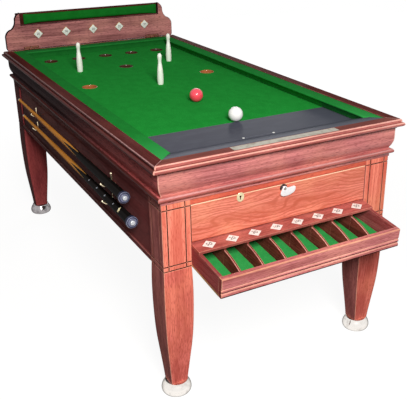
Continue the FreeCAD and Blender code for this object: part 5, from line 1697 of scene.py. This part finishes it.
@dataclass
class Cues(Assembly):
    """Two cues, the wire hooks that carry them, and the inlays of the lower butt."""

    panel_x: float = -0.4275
    axis_x: float = -0.4575
    # height of each cue; its butt end, the tips of its points and their roots along Y
    upper: Sequence[float] = (0.657, -0.656 + SHIFT_Y, 0.086, -0.128)
    lower: Sequence[float] = (0.5925, -0.713 + SHIFT_Y, -0.004, -0.200)
    hooks: Sequence[Pair] = ((-0.490 + SHIFT_Y, 0.0032), (0.430 + SHIFT_Y, 0.0023))   # place, wire radius
    rise: float = 0.024
    lip: float = 0.0096
    slack: float = 0.0003                        # between a cue and its hook
    lean: Point = (-0.74, 0.0, 0.67)             # way that the lip flares
    shank: float = 0.7                           # height of the shank, in radii of the bowl
    dots: Sequence[float] = (-0.240, -0.325, -0.407, -0.490)
    badge_y: float = -0.545
    inlay: float = math.radians(128)             # turn of the inlays about the cue
    sunk: Pair = (0.0003, 0.0004)                # how deep the dots and the badge lie
    dot: Sequence[Pair] = ((0.0, -0.002), (0.0038, -0.002), (0.0038, 0.0), (0.0030, 0.0007), (0.0, 0.0010))
    badge: Sequence[Pair] = ((0.0086, 0.002), (0.002, 0.0066), (-0.0088, -0.002), (-0.002, -0.0066))
    badge_layer: Layer = (-0.003, 0.0009, 0.0003)

    def hook(self, y: float, z: float, cue_r: float, wire: float) -> Shape:
        """Wire hook: post behind the cue, upright with a ball end, bowl under the cue, flared lip.

        Args:
            y: place along the table.
            z: height of the cue's axis.
            cue_r: the cue's radius there.
            wire: radius of the wire.

        Returns:
            The hook in its place.
        """
        bowl = cue_r + self.slack + wire
        x = self.axis_x
        path = [Vector((x + bowl, y, z + self.rise * (1 - i / 4))) for i in range(5)]
        path += [Vector((x + bowl * math.cos(a), y, z + bowl * math.sin(a))) for a in
                 (-math.radians(step) for step in range(9, 136, 9))]
        path += [path[-1] + Vector(self.lean).normalized() * self.lip * share for share in (0.33, 0.66, 1.0)]
        rings, side = [], Vector((0, 1, 0))
        for before, point, after in zip(path[:1] + path, path, path[1:] + path[-1:]):
            up = (after - before).normalized().cross(side)
            rings.append([point + side * u + up * v for u, v in oval(14, wire)])
        shape = skinned(rings)
        for end, size in ((path[0], 1.45), (path[-1], 1.1)):
            bmesh.ops.create_uvsphere(shape, u_segments=16, v_segments=10, radius=wire * size,
                                      matrix=Matrix.Translation(end))
        reach, drop = x + bowl * self.shank, z - bowl * self.shank
        bmesh.ops.create_cone(shape, cap_ends=True, segments=20, radius1=wire, radius2=wire,
                              depth=self.panel_x - reach,
                              matrix=place_on(((self.panel_x + reach) / 2, y, drop), (0.0, math.pi / 2, 0.0)))
        # painted shade: faces behind the cue take the dark shank finish
        for face in shape.faces:
            face.material_index = int(face.calc_center_median().x > x + bowl + wire * 1.02)
        return shape

    def on_butt(self, cue: Cue, y: float, depth: float) -> tuple[Point, Point]:
        """Position and angles of an inlay let into a cue's butt."""
        reach = cue.radius(y - cue.end_y) - depth
        return ((self.axis_x + reach * math.cos(self.inlay), y, cue.z + reach * math.sin(self.inlay)),
                (0.0, math.pi / 2 - self.inlay, 0.0))

    def build(self) -> None:
        """Make the cues, their hooks and the inlays."""
        pair = (Cue(self.repeat, "upper", *self.upper), Cue(self.repeat, "lower", *self.lower))
        parts = []
        for cue in pair:
            cue.build()
            parts += [mesh_from(self.hook(y, cue.z, cue.radius(y - wire - cue.end_y), wire), "hook")
                      for y, wire in self.hooks]
        self.fit(joined("cue_hooks_made", parts, HOOK_BRASS, HOOK_SHANK_SHADE), "table", "brass", "cue_hooks")
        spots = [self.on_butt(pair[1], y, self.sunk[0]) for y in self.dots]
        self.stand("cue_lower_dots", mesh_from(lathe(self.dot, 20), "dot"), spots, GREY_PEARL, "cue_lower",
                   "ivory")
        badge = slab("cue_lower_badge", self.badge, self.badge_layer, BADGE,
                     place_on(*self.on_butt(pair[1], self.badge_y, self.sunk[1])))
        self.fit(badge, "cue_lower", "ivory")


class PlayPieces(Assembly):
    """Balls and skittles."""

    def build(self) -> None:
        """Dress the loose pieces."""
        self.dress(RED_RESIN, "ball_red")
        self.dress(WHITE_RESIN, "ball_white")
        self.dress(BONE, "skittle_left", "skittle_right", "skittle_centre")


@dataclass
class Studio:
    """Camera, key light, dim room and white floor."""

    eye: Point = (-1.16533, -2.53033, 1.54465)
    turns: Sequence[tuple[float, str]] = ((-29.544342, "Z"), (66.794721, "X"), (-0.144224, "Z"))
    lens: float = 61.407
    shift: Pair = (-0.0708, -0.0130)
    aim: Point = (0.0, -0.2, 0.7)
    # place, size and power of each lamp
    key: tuple[Point, float, float] = ((-0.98, -3.3, 2.7), 1.1, 150.0)
    fill: tuple[Point, float, float] = ((2.0, 3.4, 1.5), 1.8, 20.0)
    room: float = 0.12
    floor: float = 6.0

    def camera(self) -> None:
        """Camera at the height of a standing player, left of the near corner."""
        data = bpy.data.cameras.new("camera")
        data.sensor_width = 36.0
        data.sensor_fit = "HORIZONTAL"
        data.lens = self.lens
        data.shift_x, data.shift_y = self.shift
        data.clip_end = 60.0
        made = linked("camera", data)
        stance = Matrix.Translation(self.eye)
        for angle, axis in self.turns:
            stance = stance @ Matrix.Rotation(math.radians(angle), 4, axis)
        made.matrix_world = stance
        bpy.context.scene.camera = made

    def light(self) -> None:
        """One large soft lamp in front of the table and a weak one behind it."""
        for name, (place, size, power) in (("key", self.key), ("fill", self.fill)):
            data = bpy.data.lights.new(name, "AREA")
            data.size = size
            data.energy = power
            toward = (Vector(self.aim) - Vector(place)).normalized()
            linked(name, data).matrix_world = Matrix.Translation(place) \
                @ toward.to_track_quat("-Z", "Y").to_matrix().to_4x4()

    def seen(self, tree: Tree) -> Socket:
        """1 for a ray from the camera, or one that a mirror or glass sends on.

        Args:
            tree: tree that asks.

        Returns:
            The value's socket.
        """
        ray = node(tree, "ShaderNodeLightPath").outputs
        both = node(tree, "ShaderNodeMath", {0: ray["Is Camera Ray"], 1: ray["Is Glossy Ray"]},
                    operation="MAXIMUM").outputs[0]
        return node(tree, "ShaderNodeMath", {0: both, 1: ray["Is Transmission Ray"]},
                    operation="MAXIMUM").outputs[0]

    def surroundings(self) -> None:
        """White where it is seen, dim where it lights."""
        world = bpy.data.worlds.new("studio")
        bpy.context.scene.world = world
        tree = cleared(world)
        level = node(tree, "ShaderNodeMapRange", {0: self.seen(tree), 3: self.room, 4: 1.0}).outputs[0]
        back = node(tree, "ShaderNodeBackground", {"Color": (1, 1, 1, 1), "Strength": level})
        node(tree, "ShaderNodeOutputWorld", {"Surface": back.outputs[0]})
        plane = bpy.data.meshes.new("floor")
        square = rectangle(-self.floor, -self.floor, self.floor, self.floor)
        plane.from_pydata([(x, y, 0) for x, y in square], [], [(0, 1, 2, 3)])
        paint = bpy.data.materials.new("white studio floor")
        tree = cleared(paint)
        matt = node(tree, "ShaderNodeBsdfDiffuse", {"Color": linear("#6a6866")})
        place = node(tree, "ShaderNodeTexCoord").outputs["Object"]
        away = node(tree, "ShaderNodeVectorMath", {0: place}, operation="LENGTH").outputs["Value"]
        rise = node(tree, "ShaderNodeMapRange", {0: away, 1: 1.2, 2: 3.6, 3: 0.92, 4: 1.0}).outputs[0]
        strength = node(tree, "ShaderNodeMath", {0: self.seen(tree), 1: rise}, operation="MULTIPLY")
        glow = node(tree, "ShaderNodeEmission", {"Color": (1, 1, 1, 1), "Strength": strength.outputs[0]})
        both = node(tree, "ShaderNodeAddShader", {0: matt.outputs[0], 1: glow.outputs[0]})
        node(tree, "ShaderNodeOutputMaterial", {"Surface": both.outputs[0]})
        plane.materials.append(paint)
        linked("floor", plane)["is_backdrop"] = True

    def build(self) -> None:
        """Set the studio up, with colours shown as they are."""
        self.camera()
        self.light()
        self.surroundings()
        bpy.context.scene.view_settings.view_transform = "Standard"


def corners() -> list[list[float]]:
    """Lowest and highest corner of what is shown, as plain lists."""
    return [list(corner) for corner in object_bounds()]


def main() -> None:
    """Build the table's sub-assemblies in order and set up the studio."""
    logging.basicConfig(level=logging.INFO, format="%(name)s: %(message)s")
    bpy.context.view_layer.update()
    Studio().build()
    repeat = Repeat()
    for kind in (TopRail, Carcass, Bed, BallReturn, Flap, Headboard, Cues, PlayPieces):
        log.info("%s", kind.__name__)
        kind(repeat).build()


if __name__ == "__main__":
    main()
